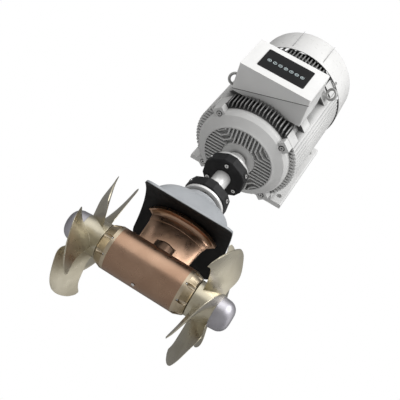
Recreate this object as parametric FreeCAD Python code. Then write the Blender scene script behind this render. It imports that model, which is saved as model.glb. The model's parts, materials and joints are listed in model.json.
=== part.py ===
import FreeCAD, Part
import math
import os

# Twin propeller tunnel thruster with a foot mounted electric motor, in millimetres.
# The origin is where the propeller axis (X) crosses the drive axis (Z). The motor stands
# on the +Z side, its terminal box faces -Y and its feet face +Y.

os.makedirs("parts", exist_ok=True)
V = FreeCAD.Vector
AXIS_X = V(1, 0, 0)
AXIS_Z = V(0, 0, 1)
ORIGIN = V(0, 0, 0)

# Tunnel that the thruster is made for
tunnel_inner_r = 250.0
tunnel_wall = 11.0

# Running and seating clearances
run_clear = 0.05
seat_clear = 0.3
tooth_backlash = 1.0

# Gear pod and end rings
pod_r = 85.6
pod_half = 140.0
pod_bore_r = 73.0
ring_length = 46.0
ring_straight = 14.0
ring_end_r = 73.0
ring_seat_depth = 22.0
ring_bolt_count = 8
ring_bolt_first_angle = 15.0
ring_bolt_r = 3.0
ring_bolt_circle_r = 78.5
ring_pocket_r = 8.0
ring_bolt_reach = 12.0
ring_pocket_depth = 38.0

plug_x = -10.0
plug_r = 4.5
plug_head_r = 6.5
plug_head_height = 4.0
plug_seat_z = -84.8

# Leg that carries the pod
leg_top_half_chord = 118.0
leg_foot_half_chord = 101.0
leg_top_half_width = 40.0
leg_foot_half_width = 27.0
flange_half_length = 148.0
flange_half_width = 69.0
flange_thickness = 14.0
cheek_r = 46.0
cheek_top = 114.0
cheek_round = 10.0
blend_r = 30.0
blend_start_z = 210.0
blunt_edge = 5.0
spigot_r = 52.0
spigot_top = 384.0
shaft_tube_bore_r = 22.0

# Propeller shafts
prop_shaft_r = 19.0
prop_shaft_inner_end = 9.0
hub_start = 188.0
hub_end = 275.0
hub_start_r = 70.0
hub_end_r = 61.5
hub_bore_r = 22.0
shaft_collar_r = 27.0

# Propeller blades: outline as angle from the blade axis at each radius
blade_count = 5
blade_tip_r = 242.0
blade_first_angle = 75.0
blade_mid_x = 223.5
blade_lead = 77.0
tip_round = 16.0
blade_radii = [55.0, 85.0, 120.0, 150.0, 180.0, 205.0, 226.0, 250.0]
blade_outer_edge = [-38.0, -41.5, -47.0, -47.0, -40.5, -33.5, -26.0, -14.5]
blade_inner_edge = [11.0, 11.0, 11.0, 12.0, 13.5, 17.0, 20.5, 21.0]
blade_root_thickness = 17.0
blade_tip_thickness = 4.5
blade_edge_thickness = 1.6

# Anode caps
cap_length = 66.0
cap_r = 61.5
cap_nose_r = 26.0
cap_screw_r = 5.0

# Bevel gears, pitch cones with their common apex at the origin
pinion_teeth = 16
crown_teeth = 32
crown_pitch_r = 62.0
gear_face_width = 20.0
crown_back_thickness = 16.0
pinion_back_thickness = 14.0

# Drive line up to the motor
input_shaft_r = 17.5
input_shaft_top = 396.0
leg_bearing_r = 40.0
leg_bearing_width = 18.0
lower_flange_z = 385.0
lower_flange_r = 90.0
lower_flange_thickness = 13.0
element_thickness = 50.0
element_corner_r = 94.0
element_bore_r = 48.0
element_gap = 2.0
element_lip = 5.0
element_corner_spread = 11.0
upper_flange_z = 631.0
upper_flange_r = 84.0
upper_flange_thickness = 13.0
joint_hub_r = 46.0
joint_tube_r = 35.5
coupling_screw_circle_r = 71.0
coupling_screw_r = 5.0
coupling_head_r = 8.5
coupling_head_height = 4.0
coupling_first_angle = 30.0
motor_hub_r = 42.0
motor_shaft_r = 32.5

# Saddle and bell on the outside of the tunnel
saddle_half_length = 184.0
saddle_half_width = 161.0
saddle_corner_r = 32.0
saddle_thickness = 10.0
gasket_thickness = 3.0
bell_wall = 9.0
bell_boss_wall = 10.0
bell_rim = 15.0
bell_top = 372.0
bell_top_r = 84.0
nut_r = 74.0
nut_thickness = 10.0
dowel_r = 6.0
dowel_x = 118.0
dowel_length = 34.0

# Motor, shaft height 250
shaft_height = 250.0
frame_front_z = 763.0
frame_length = 473.0
frame_back_z = frame_front_z + frame_length
frame_r = 205.0
frame_bore_r = 178.0
foot_hole_x = 203.0
foot_hole_spacing = 349.0
foot_hole_r = 12.0
foot_front_z = frame_front_z + 50.0
foot_length = 443.0
foot_back_z = foot_front_z + foot_length
foot_first_hole_z = foot_front_z + (foot_length - foot_hole_spacing) / 2
foot_outer_x = 233.0
foot_inner_x = 160.0
foot_thickness = 24.0
foot_relief_start = 86.0
fin_tip_r = 232.0
fin_pitch = 16.6
fin_thickness = 5.0
side_fin_thickness = 8.5
fin_reach = 134.0
fin_setback = 4.0
lug_length = 57.0
lug_half_width = 29.0
lug_face_r = 228.0
ear_depth = 33.0
ear_half_width = 25.0
ear_face_r = 230.0
ear_round = 4.0
shield_r = 205.0
shield_depth = 38.0
shield_face_z = frame_front_z - shield_depth
shield_face_r = 196.0
grille_r = 153.0
grille_rise = 28.0
grille_depth = 22.0
grille_front_z = shield_face_z - grille_rise
grille_floor_z = grille_front_z + grille_depth
rib_pitch = 16.6
rib_thickness = 6.5
rib_chamfer = 24.0
shield_bolt_circle_r = 206.0
bolt_r = 6.0
bolt_head_r = 9.0
bolt_head_height = 10.0
bolt_recess_r = 13.5
bolt_recess_depth = 8.0
motor_bearing_r = 70.0
motor_bearing_width = 33.0
drive_bearing_inset = 30.0
drive_bearing_z = frame_front_z - drive_bearing_inset
rear_bearing_z = frame_back_z + 10.0
bearing_cap_r = 78.0
bearing_cap_stand = 32.0
bearing_cap_front_z = drive_bearing_z - bearing_cap_stand
bearing_cap_thickness = 9.0
stator_bore_r = 120.0
air_gap = 0.8
core_length = 280.0
core_front_z = frame_front_z + 97.0
core_back_z = core_front_z + core_length
winding_reach = 58.0

# Fan and cowl
fan_gap = 21.0
fan_z = rear_bearing_z + motor_bearing_width + fan_gap
fan_width = 46.0
fan_r = 190.0
fan_blades = 9
cowl_front_z = frame_back_z + 4.0
cowl_front_r = 238.0
cowl_length = 184.0
cowl_back_z = cowl_front_z + cowl_length
cowl_back_r = 229.0
cowl_round_r = 24.0
cowl_sheet = 3.0
cowl_screw_r = 3.0
cowl_screw_z = cowl_front_z + 9.0
cowl_lug_half_width = 12.0
rear_ear_depth = 22.0

# Terminal box
box_half_x = 160.0
box_front_z = frame_front_z + 64.0
box_length = 203.0
box_back_z = box_front_z + box_length
box_base_y = -205.0
box_split_left_y = -212.0
box_split_right_y = -318.0
box_gasket = 3.0
box_corner_r = 5.0
box_pad_inset = 22.0
wire_hole_x = -90.0
wire_hole_r = 30.0
gland_y = -257.0
gland_r = 16.0
gland_hex_r = 20.0
gland_bore_r = 10.0
gland_x = (65.0, 118.0)
box_top_y = -345.0
box_wall = 5.0
cover_screw_x = (-132.0, -52.0, 28.0, 108.0)
cover_screw_r = 3.0
cover_screw_inset = 13.0
tab_half_width = 9.0
tab_thickness = 4.0
plate_half_x = 105.0
plate_front_z = box_front_z + 42.0
plate_length = 128.0
plate_back_z = plate_front_z + plate_length
plate_thickness = 1.6

# Lifting eyes on raised blocks at two corners of the frame
eye_block_face_r = 226.0
eye_block_half_width = 46.0
eye_block_half_length = 30.0
eye_angle = 45.0
eye_ring_r = 23.0
eye_wire_r = 6.0
eye_centre_r = 262.0
eye_tilt = 42.0
eye_block_z = (frame_front_z + 157.0, frame_front_z + 377.0)


def revolved(points, axis):
    """Solid of revolution from (radius, height) corners about Z or X."""
    if axis == "z":
        corners = [V(r, 0, h) for r, h in points]
        direction = AXIS_Z
    else:
        corners = [V(h, 0, r) for r, h in points]
        direction = AXIS_X
    wire = Part.makePolygon(corners + [corners[0]])
    return Part.Face(wire).revolve(ORIGIN, direction, 360)


def tube(outer_r, inner_r, low, high, axis="z"):
    """Plain ring between two heights on an axis."""
    direction = AXIS_Z if axis == "z" else AXIS_X
    base = V(0, 0, low) if axis == "z" else V(low, 0, 0)
    ring = Part.makeCylinder(outer_r, high - low, base, direction)
    if inner_r > 0:
        ring = ring.cut(Part.makeCylinder(inner_r, high - low, base, direction))
    return ring


def box(x0, x1, y0, y1, z0, z1):
    """Block between two corners."""
    return Part.makeBox(x1 - x0, y1 - y0, z1 - z0, V(x0, y0, z0))


def turned(shape, angle, axis=AXIS_Z):
    """Copy of a shape turned about an axis through the origin."""
    copy = shape.copy()
    copy.rotate(ORIGIN, axis, angle)
    return copy


def moved(shape, x=0.0, y=0.0, z=0.0):
    """Copy of a shape shifted by a vector."""
    copy = shape.copy()
    copy.translate(V(x, y, z))
    return copy


def around(shape, count, axis=AXIS_Z, first=0.0):
    """Copies of a shape spaced evenly about an axis."""
    return [turned(shape, first + 360.0 * i / count, axis) for i in range(count)]


def mirrored_x(shape):
    """Mirror image in the plane across the propeller axis."""
    return shape.mirror(ORIGIN, AXIS_X)


def fused(shapes):
    """One solid from several that overlap or touch."""
    whole = shapes[0].multiFuse(shapes[1:]) if len(shapes) > 1 else shapes[0]
    return whole.removeSplitter()


def cut_by(shape, tools):
    """Shape with a list of tools taken away."""
    return shape.cut(tools) if tools else shape


def save(name, shapes):
    """One STEP file per sub-part, several loose solids as one compound."""
    shapes = shapes if isinstance(shapes, list) else [shapes]
    solids = [solid for shape in shapes for solid in shape.Solids]
    whole = solids[0] if len(solids) == 1 else Part.makeCompound(solids)
    whole.exportStep("parts/%s.step" % name)


def prism(points, low, high):
    """Polygon in X and Y, drawn up from one height to another."""
    wire = Part.makePolygon([V(x, y, low) for x, y in points + points[:1]])
    return Part.Face(wire).extrude(V(0, 0, high - low))


def rounded_rectangle(half_x, half_y, corner, z):
    """Closed wire of four sides and four corner arcs at one height."""
    edges = []
    centres = [(1, 1, 0), (-1, 1, 90), (-1, -1, 180), (1, -1, 270)]
    for index, (sx, sy, start) in enumerate(centres):
        cx = sx * (half_x - corner)
        cy = sy * (half_y - corner)
        arc = [V(cx + corner * math.cos(math.radians(start + a)),
                 cy + corner * math.sin(math.radians(start + a)), z) for a in (0, 45, 90)]
        edges.append(Part.Arc(arc[0], arc[1], arc[2]).toShape())
        nx, ny, nstart = centres[(index + 1) % 4]
        begin = V(nx * (half_x - corner) + corner * math.cos(math.radians(nstart)),
                  ny * (half_y - corner) + corner * math.sin(math.radians(nstart)), z)
        if (begin - arc[2]).Length > 1e-6:
            edges.append(Part.LineSegment(arc[2], begin).toShape())
    return Part.Wire(edges)


def lens(half_chord, half_width, z):
    """Closed wire of two arcs that meet at the leading and trailing edges, with blunt ends."""
    front = Part.Arc(V(half_chord, -blunt_edge, z), V(0, -half_width, z), V(-half_chord, -blunt_edge, z))
    left = Part.Arc(V(-half_chord, -blunt_edge, z), V(-half_chord - blunt_edge, 0, z), V(-half_chord, blunt_edge, z))
    back = Part.Arc(V(-half_chord, blunt_edge, z), V(0, half_width, z), V(half_chord, blunt_edge, z))
    right = Part.Arc(V(half_chord, blunt_edge, z), V(half_chord + blunt_edge, 0, z), V(half_chord, -blunt_edge, z))
    return Part.Wire([curve.toShape() for curve in (front, left, back, right)])


# Gear pod, leg and flange, one bronze casting


def gear_leg():
    pod = tube(pod_r, 0, -pod_half, pod_half, "x")
    strut = Part.makeLoft([lens(leg_foot_half_chord, leg_foot_half_width, 20),
                           lens(leg_foot_half_chord + 4, leg_foot_half_width + 3, 140),
                           lens(leg_top_half_chord, leg_top_half_width, tunnel_inner_r)], True)
    cheek = Part.makeCylinder(cheek_r, cheek_top, ORIGIN, AXIS_Z)
    cheek = cheek.makeFillet(cheek_round, [edge for edge in cheek.Edges if edge.BoundBox.ZMin > cheek_top - 1])
    spigot = tube(spigot_r, 0, tunnel_inner_r - flange_thickness + 2, spigot_top)
    inside = tube(tunnel_inner_r - seat_clear, 0, -300, 300, "x")
    casting = fused([pod, strut.common(inside), leg_blend().common(inside), cheek, leg_flange(), spigot])
    bores = [tube(pod_bore_r, 0, -pod_half, pod_half, "x"),
             tube(shaft_tube_bore_r, 0, 0, spigot_top),
             tube(leg_bearing_r, 0, 0, pinion_bearing_top()),
             tube(leg_bearing_r, 0, spigot_top - leg_bearing_width - 6, spigot_top)]
    dowels = [dowel(side, dowel_r) for side in (-1, 1)]
    plug = Part.makeCylinder(plug_r, 40, V(plug_x, 0, -pod_r - 10), AXIS_Z)
    seat = Part.makeCylinder(plug_head_r + 1, 10, V(plug_x, 0, plug_seat_z - 10), AXIS_Z)
    low = pod_half - ring_bolt_reach
    threads = ring_pattern(Part.makeCylinder(ring_bolt_r + run_clear, 20, V(low, 0, ring_bolt_circle_r), AXIS_X))
    threads += [mirrored_x(thread) for thread in threads]
    return cut_by(casting, bores + dowels + threads + [plug, seat])


def leg_blend():
    """Hollow curve that widens the strut into its flange."""
    inner_face = tunnel_inner_r - flange_thickness
    sections = [lens(leg_top_half_chord - 6, leg_top_half_width - 5, blend_start_z - 14)]
    for share in (0.0, 0.3, 0.5, 0.7, 0.85, 0.95):
        rise = share * blend_r
        grow = blend_r - math.sqrt(blend_r * blend_r - rise * rise) - 1
        sections.append(lens(leg_top_half_chord - 2 + grow, leg_top_half_width - 2 + grow, blend_start_z + rise))
    sections.append(lens(leg_top_half_chord + blend_r * 0.6, leg_top_half_width + blend_r * 0.6, inner_face + 6))
    return Part.makeLoft(sections, True, True)


def leg_flange():
    """Pointed oval plate that follows the tunnel."""
    outline = Part.Face(lens(flange_half_length - 8, flange_half_width, 150)).extrude(V(0, 0, 120))
    inner_r = tunnel_inner_r - flange_thickness
    band = tube(tunnel_inner_r - seat_clear, inner_r, -flange_half_length, flange_half_length, "x")
    return outline.common(turned(band, 180, AXIS_X))


def dowel(side, radius):
    """Pin that stops the leg from turning, through the tunnel wall beside the spigot."""
    low = tunnel_inner_r - flange_thickness + 2
    return Part.makeCylinder(radius, dowel_length, V(side * dowel_x, 0, low), AXIS_Z)


def pinion_bearing_top():
    return crown_pitch_r + pinion_back_thickness + leg_bearing_width + 8


def end_ring():
    """Brass ring that closes the right end of the pod and carries the shaft bearing."""
    face = pod_half
    shoulder = face + ring_straight
    end = face + ring_length
    inner = face - ring_seat_depth
    profile = [(pod_bore_r - run_clear, inner), (pod_bore_r - run_clear, face), (pod_r, face),
               (pod_r, shoulder), (ring_end_r + 2, end - 4), (ring_end_r - 2, end),
               (shaft_collar_r + 4, end), (shaft_collar_r + 4, end - 16),
               (leg_bearing_r, end - 16), (leg_bearing_r, inner)]
    ring = revolved(profile, "x")
    start = face + ring_length - ring_pocket_depth
    pocket = Part.makeCylinder(ring_pocket_r, ring_length, V(start, 0, ring_bolt_circle_r), AXIS_X)
    hole = Part.makeCylinder(ring_bolt_r + 0.4, ring_length, V(face - 1, 0, ring_bolt_circle_r), AXIS_X)
    tools = [pocket, hole]
    return cut_by(ring, [copy for tool in tools for copy in ring_pattern(tool)])


def ring_pattern(shape):
    return around(shape, ring_bolt_count, AXIS_X, ring_bolt_first_angle)


def ring_bolts():
    """Socket screws in the pockets of the right ring."""
    start = pod_half + ring_length - ring_pocket_depth
    head = Part.makeCylinder(5.2, 6, V(start, 0, ring_bolt_circle_r), AXIS_X)
    low = pod_half - ring_bolt_reach
    shank = Part.makeCylinder(ring_bolt_r, start - low, V(low, 0, ring_bolt_circle_r), AXIS_X)
    socket = hexagon_x(2.6, start + 3, start + 6.5, ring_bolt_circle_r)
    return ring_pattern(head.fuse(shank).cut(socket))


def hexagon_x(radius, low, high, z):
    corners = [V(low, radius * math.cos(math.radians(60 * i)), z + radius * math.sin(math.radians(60 * i)))
               for i in range(7)]
    return Part.Face(Part.makePolygon(corners)).extrude(V(high - low, 0, 0))


def hexagon_z(radius, low, high, x=0.0, y=0.0):
    corners = [V(x + radius * math.cos(math.radians(60 * i)), y + radius * math.sin(math.radians(60 * i)), low)
               for i in range(7)]
    return Part.Face(Part.makePolygon(corners)).extrude(V(0, 0, high - low))


# Propellers


def blade_point(radius, share, side):
    """Point on a blade face: share 0 to 1 from outer to inner edge, side -1 or 1."""
    spans = list(zip(blade_radii, blade_outer_edge, blade_inner_edge))
    for (r0, a0, b0), (r1, a1, b1) in zip(spans, spans[1:]):
        if r0 <= radius <= r1:
            t = (radius - r0) / (r1 - r0)
            outer = a0 + (a1 - a0) * t
            inner = b0 + (b1 - b0) * t
    angle = math.radians(outer + (inner - outer) * share)
    pitch = math.atan(blade_lead / radius)
    level = (radius - blade_radii[0]) / (blade_radii[-1] - blade_radii[0])
    thickest = blade_root_thickness + (blade_tip_thickness - blade_root_thickness) * level
    half = (blade_edge_thickness + (thickest - blade_edge_thickness) * math.sin(math.pi * share)) / 2
    camber = 0.02 * radius * math.sin(math.pi * share) * 0.6
    normal = camber + side * half
    turn = angle + normal * math.sin(pitch) / radius
    x = blade_mid_x - blade_lead * angle + normal * math.cos(pitch)
    return V(x, -radius * math.sin(turn), radius * math.cos(turn))


def edge_of(curve):
    return curve.toShape()


def blade():
    """Closed blade from two faces on the helix and four ruled edge strips."""
    shares = [0.0, 0.12, 0.3, 0.5, 0.7, 0.88, 1.0]
    faces = []
    sheets = []
    for side in (-1, 1):
        sheet = Part.BSplineSurface()
        sheet.interpolate([[blade_point(r, s, side) for s in shares] for r in blade_radii])
        sheets.append(sheet)
        faces.append(sheet.toShape())
    u0, u1, v0, v1 = sheets[0].bounds()
    for low, high in ((sheets[0].uIso(u0), sheets[1].uIso(u0)), (sheets[0].uIso(u1), sheets[1].uIso(u1)),
                      (sheets[0].vIso(v0), sheets[1].vIso(v0)), (sheets[0].vIso(v1), sheets[1].vIso(v1))):
        faces.append(Part.makeRuledSurface(edge_of(low), edge_of(high)))
    shell = Part.Compound(faces)
    shell.sewShape(0.02)
    solid = Part.Solid(shell.Shells[0])
    if solid.Volume < 0:
        solid.reverse()
    return solid


def tip_trim():
    """Ring that trims a blade to the tunnel and rounds both corners of its tip."""
    inner = blade_mid_x - blade_lead * math.radians(blade_inner_edge[-1])
    outer = blade_mid_x - blade_lead * math.radians(blade_outer_edge[-1])
    low = blade_tip_r - tip_round
    root = hub_end_r - 8
    return revolved([(root, hub_start - 60), (low, hub_start - 60), (low, inner),
                     (blade_tip_r - 0.29 * tip_round, inner + 0.29 * tip_round),
                     (blade_tip_r, inner + tip_round), (blade_tip_r, outer - 0.45 * tip_round),
                     (blade_tip_r - 0.15 * tip_round, outer + 0.2 * tip_round),
                     (blade_tip_r - 0.5 * tip_round, outer + 0.62 * tip_round),
                     (low, outer + 1.1 * tip_round), (low, hub_end + 60), (root, hub_end + 60)], "x")


def propeller():
    """Right propeller: tapered hub with a bore and five blades trimmed to the tunnel."""
    hub = revolved([(hub_bore_r, hub_start), (hub_start_r - 2, hub_start), (hub_start_r, hub_start + 2),
                    (hub_end_r, hub_end), (hub_bore_r, hub_end)], "x")
    clear_of_cap = tube(cap_r + 1, 0, hub_end, hub_end + 60, "x")
    one = blade().common(tip_trim()).cut(clear_of_cap)
    blades = around(one, blade_count, AXIS_X, blade_first_angle)
    whole = fused([hub] + blades)
    keyway = box(hub_start, hub_end, -3.2, 3.2, 0, hub_bore_r + 3.5)
    return whole.cut(keyway)


def anode_cap():
    """Zinc cap with a rounded nose and a screw hole in its middle."""
    low = hub_end + seat_clear
    high = hub_end + cap_length
    outline = [V(low, 0, 0), V(low, 0, cap_r), V(high - cap_nose_r - 8, 0, cap_r - 2.5)]
    side = Part.makePolygon(outline)
    bulge = Part.Arc(V(high - cap_nose_r - 8, 0, cap_r - 2.5), V(high - 11, 0, cap_r - 14),
                     V(high, 0, cap_r - 38)).toShape()
    front = Part.makePolygon([V(high, 0, cap_r - 38), V(high, 0, 0), V(low, 0, 0)])
    wire = Part.Wire(side.Edges + [bulge] + front.Edges)
    cap = Part.Face(wire).revolve(ORIGIN, AXIS_X, 360)
    nut_space = tube(hub_bore_r + 12, 0, low, low + 30, "x")
    screw = tube(cap_screw_r + 0.2, 0, low, high, "x")
    seat = tube(cap_screw_r * 1.9, 0, high - 9, high, "x")
    return cut_by(cap, [nut_space, screw, seat])


def anode_screw():
    high = hub_end + cap_length
    head = tube(cap_screw_r * 1.7, 0, high - 9, high - 2, "x")
    shank = tube(cap_screw_r, 0, hub_end + 20, high - 9, "x")
    return head.fuse(shank).cut(hexagon_x(4.2, high - 6, high - 1, 0))


def propeller_nut():
    nut = hexagon_x(27, hub_end + seat_clear, hub_end + 19, 0)
    return nut.cut(tube(prop_shaft_r - 4 + run_clear, 0, hub_end, hub_end + 20, "x"))


def prop_shaft():
    """Right shaft from the crown gear to the propeller nut."""
    seat_end = hub_end
    end = hub_end + 22
    profile = [(0, prop_shaft_inner_end), (prop_shaft_r, prop_shaft_inner_end),
               (prop_shaft_r, crown_back() + 4), (shaft_collar_r, crown_back() + 4),
               (shaft_collar_r, hub_start - 0.5), (hub_bore_r - run_clear, hub_start - 0.5),
               (hub_bore_r - run_clear, seat_end - 4), (prop_shaft_r - 4, seat_end - 4),
               (prop_shaft_r - 4, end), (0, end)]
    shaft = revolved(profile, "x")
    keyway = box(hub_start + 12, hub_end - 12, -3, 3, hub_bore_r - 4, hub_bore_r + 4)
    thread = tube(cap_screw_r, 0, end - 30, end, "x")
    return cut_by(shaft, [keyway, thread])


def propeller_key():
    return box(hub_start + 12, hub_end - 12, -3, 3, hub_bore_r - 4, hub_bore_r + 3.2)


# Bevel gears


def gear_tooth(teeth, pitch_r, mate_r, module):
    """One straight tooth about Z, wide at the back cone and narrow at the front."""
    angle = math.atan2(pitch_r, mate_r)
    cone = math.hypot(pitch_r, mate_r)
    along = (math.sin(angle), math.cos(angle))
    height = (math.cos(angle), -math.sin(angle))
    half = math.pi * module / 4 - tooth_backlash / 2
    slope = math.tan(math.radians(20))
    top = 0.9 * module
    root = 1.6 * module
    wires = []
    for scale in (1.0, (cone - gear_face_width) / cone):
        corners = []
        for rise, wide in ((-root, half + root * slope), (top, half - top * slope)):
            r = (cone * along[0] + rise * height[0]) * scale
            z = (cone * along[1] + rise * height[1]) * scale
            corners.append((r, wide * scale, z))
        (r0, w0, z0), (r1, w1, z1) = corners
        loop = [V(r0, -w0, z0), V(r1, -w1, z1), V(r1, w1, z1), V(r0, w0, z0), V(r0, -w0, z0)]
        wires.append(Part.makePolygon(loop))
    return Part.makeLoft(wires, True, True)


def bevel_gear(teeth, pitch_r, mate_r, back, bore_r, first):
    """Gear about Z with its apex at the origin: cone blank, back boss and teeth."""
    module = 2 * pitch_r / teeth
    angle = math.atan2(pitch_r, mate_r)
    cone = math.hypot(pitch_r, mate_r)
    root = 1.15 * module
    rim = []
    for scale in (1.0, (cone - gear_face_width) / cone):
        r = (pitch_r - root * math.cos(angle)) * scale
        z = (mate_r + root * math.sin(angle)) * scale
        rim.append((r, z))
    (outer_r, outer_z), (front_r, front_z) = rim
    blank = revolved([(bore_r, front_z), (front_r, front_z), (outer_r, outer_z),
                      (outer_r - 2, outer_z + back * 0.45), (max(bore_r + 8, outer_r * 0.62), outer_z + back),
                      (bore_r, outer_z + back)], "z")
    tooth = gear_tooth(teeth, pitch_r, mate_r, module)
    return fused([blank] + around(tooth, teeth, AXIS_Z, first))


def pinion_pitch_r():
    return crown_pitch_r * pinion_teeth / crown_teeth


def crown_back():
    """Distance from the origin to the back face of a crown gear."""
    module = 2 * crown_pitch_r / crown_teeth
    angle = math.atan2(crown_pitch_r, pinion_pitch_r())
    return pinion_pitch_r() + 1.15 * module * math.sin(angle) + crown_back_thickness


def pinion():
    return bevel_gear(pinion_teeth, pinion_pitch_r(), crown_pitch_r, pinion_back_thickness,
                      input_shaft_r - 5 + run_clear, 0)


def crown_gear():
    """Right crown gear, turned so that a gap between teeth faces the pinion."""
    gear = bevel_gear(crown_teeth, crown_pitch_r, pinion_pitch_r(), crown_back_thickness,
                      prop_shaft_r + run_clear, 180.0 / crown_teeth)
    gear.rotate(ORIGIN, V(0, 1, 0), 90)
    return gear


# Bearings and seals


def bearing_rings(inner_r, outer_r, low, high, axis="z"):
    """Inner and outer ring with a groove each, and the rollers between them."""
    middle = (inner_r + outer_r) / 2
    roller = (outer_r - inner_r) * 0.2
    gap = 0.25
    inner = tube(middle - roller - gap, inner_r, low, high, axis)
    outer = tube(outer_r, middle + roller + gap, low, high, axis)
    count = int(math.pi * middle / (roller * 1.5))
    if axis == "z":
        one = Part.makeCylinder(roller, high - low - 6, V(middle, 0, low + 3), AXIS_Z)
        rollers = around(one, count, AXIS_Z)
    else:
        one = Part.makeCylinder(roller, high - low - 6, V(low + 3, 0, middle), AXIS_X)
        rollers = around(one, count, AXIS_X)
    return inner, outer, rollers


# Drive line


def input_shaft():
    pinion_front = crown_pitch_r * 0.72
    pinion_back = crown_pitch_r + pinion_back_thickness
    profile = [(0, pinion_front - 4), (input_shaft_r - 5, pinion_front - 4),
               (input_shaft_r - 5, pinion_back + 8), (input_shaft_r, pinion_back + 8),
               (input_shaft_r, input_shaft_top), (0, input_shaft_top)]
    return revolved(profile, "z")


def lower_coupling_hub():
    """Steel flange with a short hub keyed on the input shaft."""
    low = lower_flange_z
    high = low + lower_flange_thickness
    disc = revolved([(input_shaft_r + run_clear, low), (lower_flange_r - 1.5, low), (lower_flange_r, low + 1.5),
                     (lower_flange_r, high - 1.5), (lower_flange_r - 1.5, high),
                     (input_shaft_r + run_clear, high)], "z")
    holes = around(Part.makeCylinder(coupling_screw_r + 0.1, 30, V(coupling_screw_circle_r, 0, low - 5)), 3,
                   AXIS_Z, coupling_first_angle)
    return cut_by(disc, holes)


def upper_coupling_hub():
    """Steel flange and long hub on the motor shaft."""
    high = upper_flange_z
    low = high - upper_flange_thickness
    hub_top = bearing_cap_front_z - 9
    body = revolved([(motor_shaft_r + run_clear, low), (upper_flange_r - 1.5, low), (upper_flange_r, low + 1.5),
                     (upper_flange_r, high - 1.5), (upper_flange_r - 1.5, high), (motor_hub_r, high),
                     (motor_hub_r, hub_top - 3), (motor_hub_r - 3, hub_top), (motor_shaft_r + run_clear, hub_top)],
                    "z")
    holes = around(Part.makeCylinder(coupling_screw_r + 0.1, 30, V(coupling_screw_circle_r, 0, low - 5)), 3,
                   AXIS_Z, coupling_first_angle)
    keyway = box(0, motor_shaft_r + 4.4, -9.1, 9.1, low, hub_top)
    return cut_by(body, holes + [keyway])


def rubber_element(low, lip_low):
    """Six cornered rubber ring with flattened corners and a lip that closes on the joint shaft."""
    points = []
    for i in range(6):
        for side in (-element_corner_spread, element_corner_spread):
            angle = math.radians(coupling_first_angle + 60 * i + side)
            points.append((element_corner_r * math.cos(angle), element_corner_r * math.sin(angle)))
    body = prism(points, low, low + element_thickness)
    edges = [edge for edge in body.Edges if abs(edge.Vertexes[0].Z - edge.Vertexes[1].Z) < 0.01]
    body = body.makeChamfer(4.0, edges)
    bore = tube(element_bore_r, joint_tube_r, low, low + element_thickness)
    lip = tube(element_bore_r, joint_tube_r, lip_low, lip_low + element_lip)
    middle_hole = tube(joint_tube_r + seat_clear, 0, low, low + element_thickness)
    screws = around(Part.makeCylinder(coupling_screw_r + 0.1, element_thickness, V(coupling_screw_circle_r, 0, low)),
                    3, AXIS_Z, coupling_first_angle)
    middle = low + element_thickness / 2
    radial = around(Part.makeCylinder(coupling_screw_r + 0.1, element_corner_r, V(0, 0, middle), AXIS_X), 3,
                    AXIS_Z, coupling_first_angle + 60)
    return cut_by(body, [bore.cut(lip), middle_hole] + screws + radial)


def lower_element_z():
    return lower_flange_z + lower_flange_thickness + element_gap


def upper_element_z():
    return upper_flange_z - upper_flange_thickness - element_gap - element_thickness


def axial_screws():
    """Screws through both rubber elements into their steel flanges."""
    lower = lower_element_z()
    upper = upper_element_z()
    x = coupling_screw_circle_r
    up_head = Part.makeCylinder(coupling_head_r, coupling_head_height, V(x, 0, lower + element_thickness))
    up_shank = Part.makeCylinder(coupling_screw_r, element_thickness + element_gap + 10,
                                 V(x, 0, lower - element_gap - 10))
    up_socket = hexagon_z(4.3, lower + element_thickness + 1.5, lower + element_thickness + 9, x)
    down_head = Part.makeCylinder(coupling_head_r, coupling_head_height, V(x, 0, upper - coupling_head_height))
    down_shank = Part.makeCylinder(coupling_screw_r, element_thickness + element_gap + 10, V(x, 0, upper))
    down_socket = hexagon_z(4.3, upper - 9, upper - 1.5, x)
    screws = [up_head.fuse(up_shank).cut(up_socket), down_head.fuse(down_shank).cut(down_socket)]
    return [copy for screw in screws for copy in around(screw, 3, AXIS_Z, coupling_first_angle)]


def radial_screws():
    """Screws through the flattened corners into the hubs of the joint shaft."""
    face = element_corner_r * math.cos(math.radians(element_corner_spread))
    screws = []
    for low in (lower_element_z(), upper_element_z()):
        z = low + element_thickness / 2
        head = Part.makeCylinder(coupling_head_r, coupling_head_height, V(face, 0, z), AXIS_X)
        shank = Part.makeCylinder(coupling_screw_r, face - joint_hub_r + 12, V(joint_hub_r - 12, 0, z), AXIS_X)
        socket = moved(hexagon_x(4.3, face + 1.5, face + 9, 0), z=z)
        screws += around(head.fuse(shank).cut(socket), 3, AXIS_Z, coupling_first_angle + 60)
    return screws


def joint_shaft():
    """Hollow shaft between the two elements, a hub at each end."""
    low = lower_element_z() + 3
    high = upper_element_z() + element_thickness - 3
    hub = element_thickness - element_lip - 3 - seat_clear
    tube_bore = joint_tube_r - 6
    body = revolved([(tube_bore, low), (joint_hub_r, low), (joint_hub_r, low + hub), (joint_tube_r, low + hub),
                     (joint_tube_r, high - hub), (joint_hub_r, high - hub), (joint_hub_r, high),
                     (tube_bore, high)], "z")
    holes = []
    for base in (lower_element_z(), upper_element_z()):
        drill = Part.makeCylinder(coupling_screw_r, 20, V(joint_hub_r - 12, 0, base + element_thickness / 2), AXIS_X)
        holes += around(drill, 3, AXIS_Z, coupling_first_angle + 60)
    return cut_by(body, holes)


# Saddle and bell


def saddle_outline(low, high, inset=0.0):
    wire = rounded_rectangle(saddle_half_length - inset, saddle_half_width - inset, saddle_corner_r, low)
    return Part.Face(wire).extrude(V(0, 0, high - low))


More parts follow.
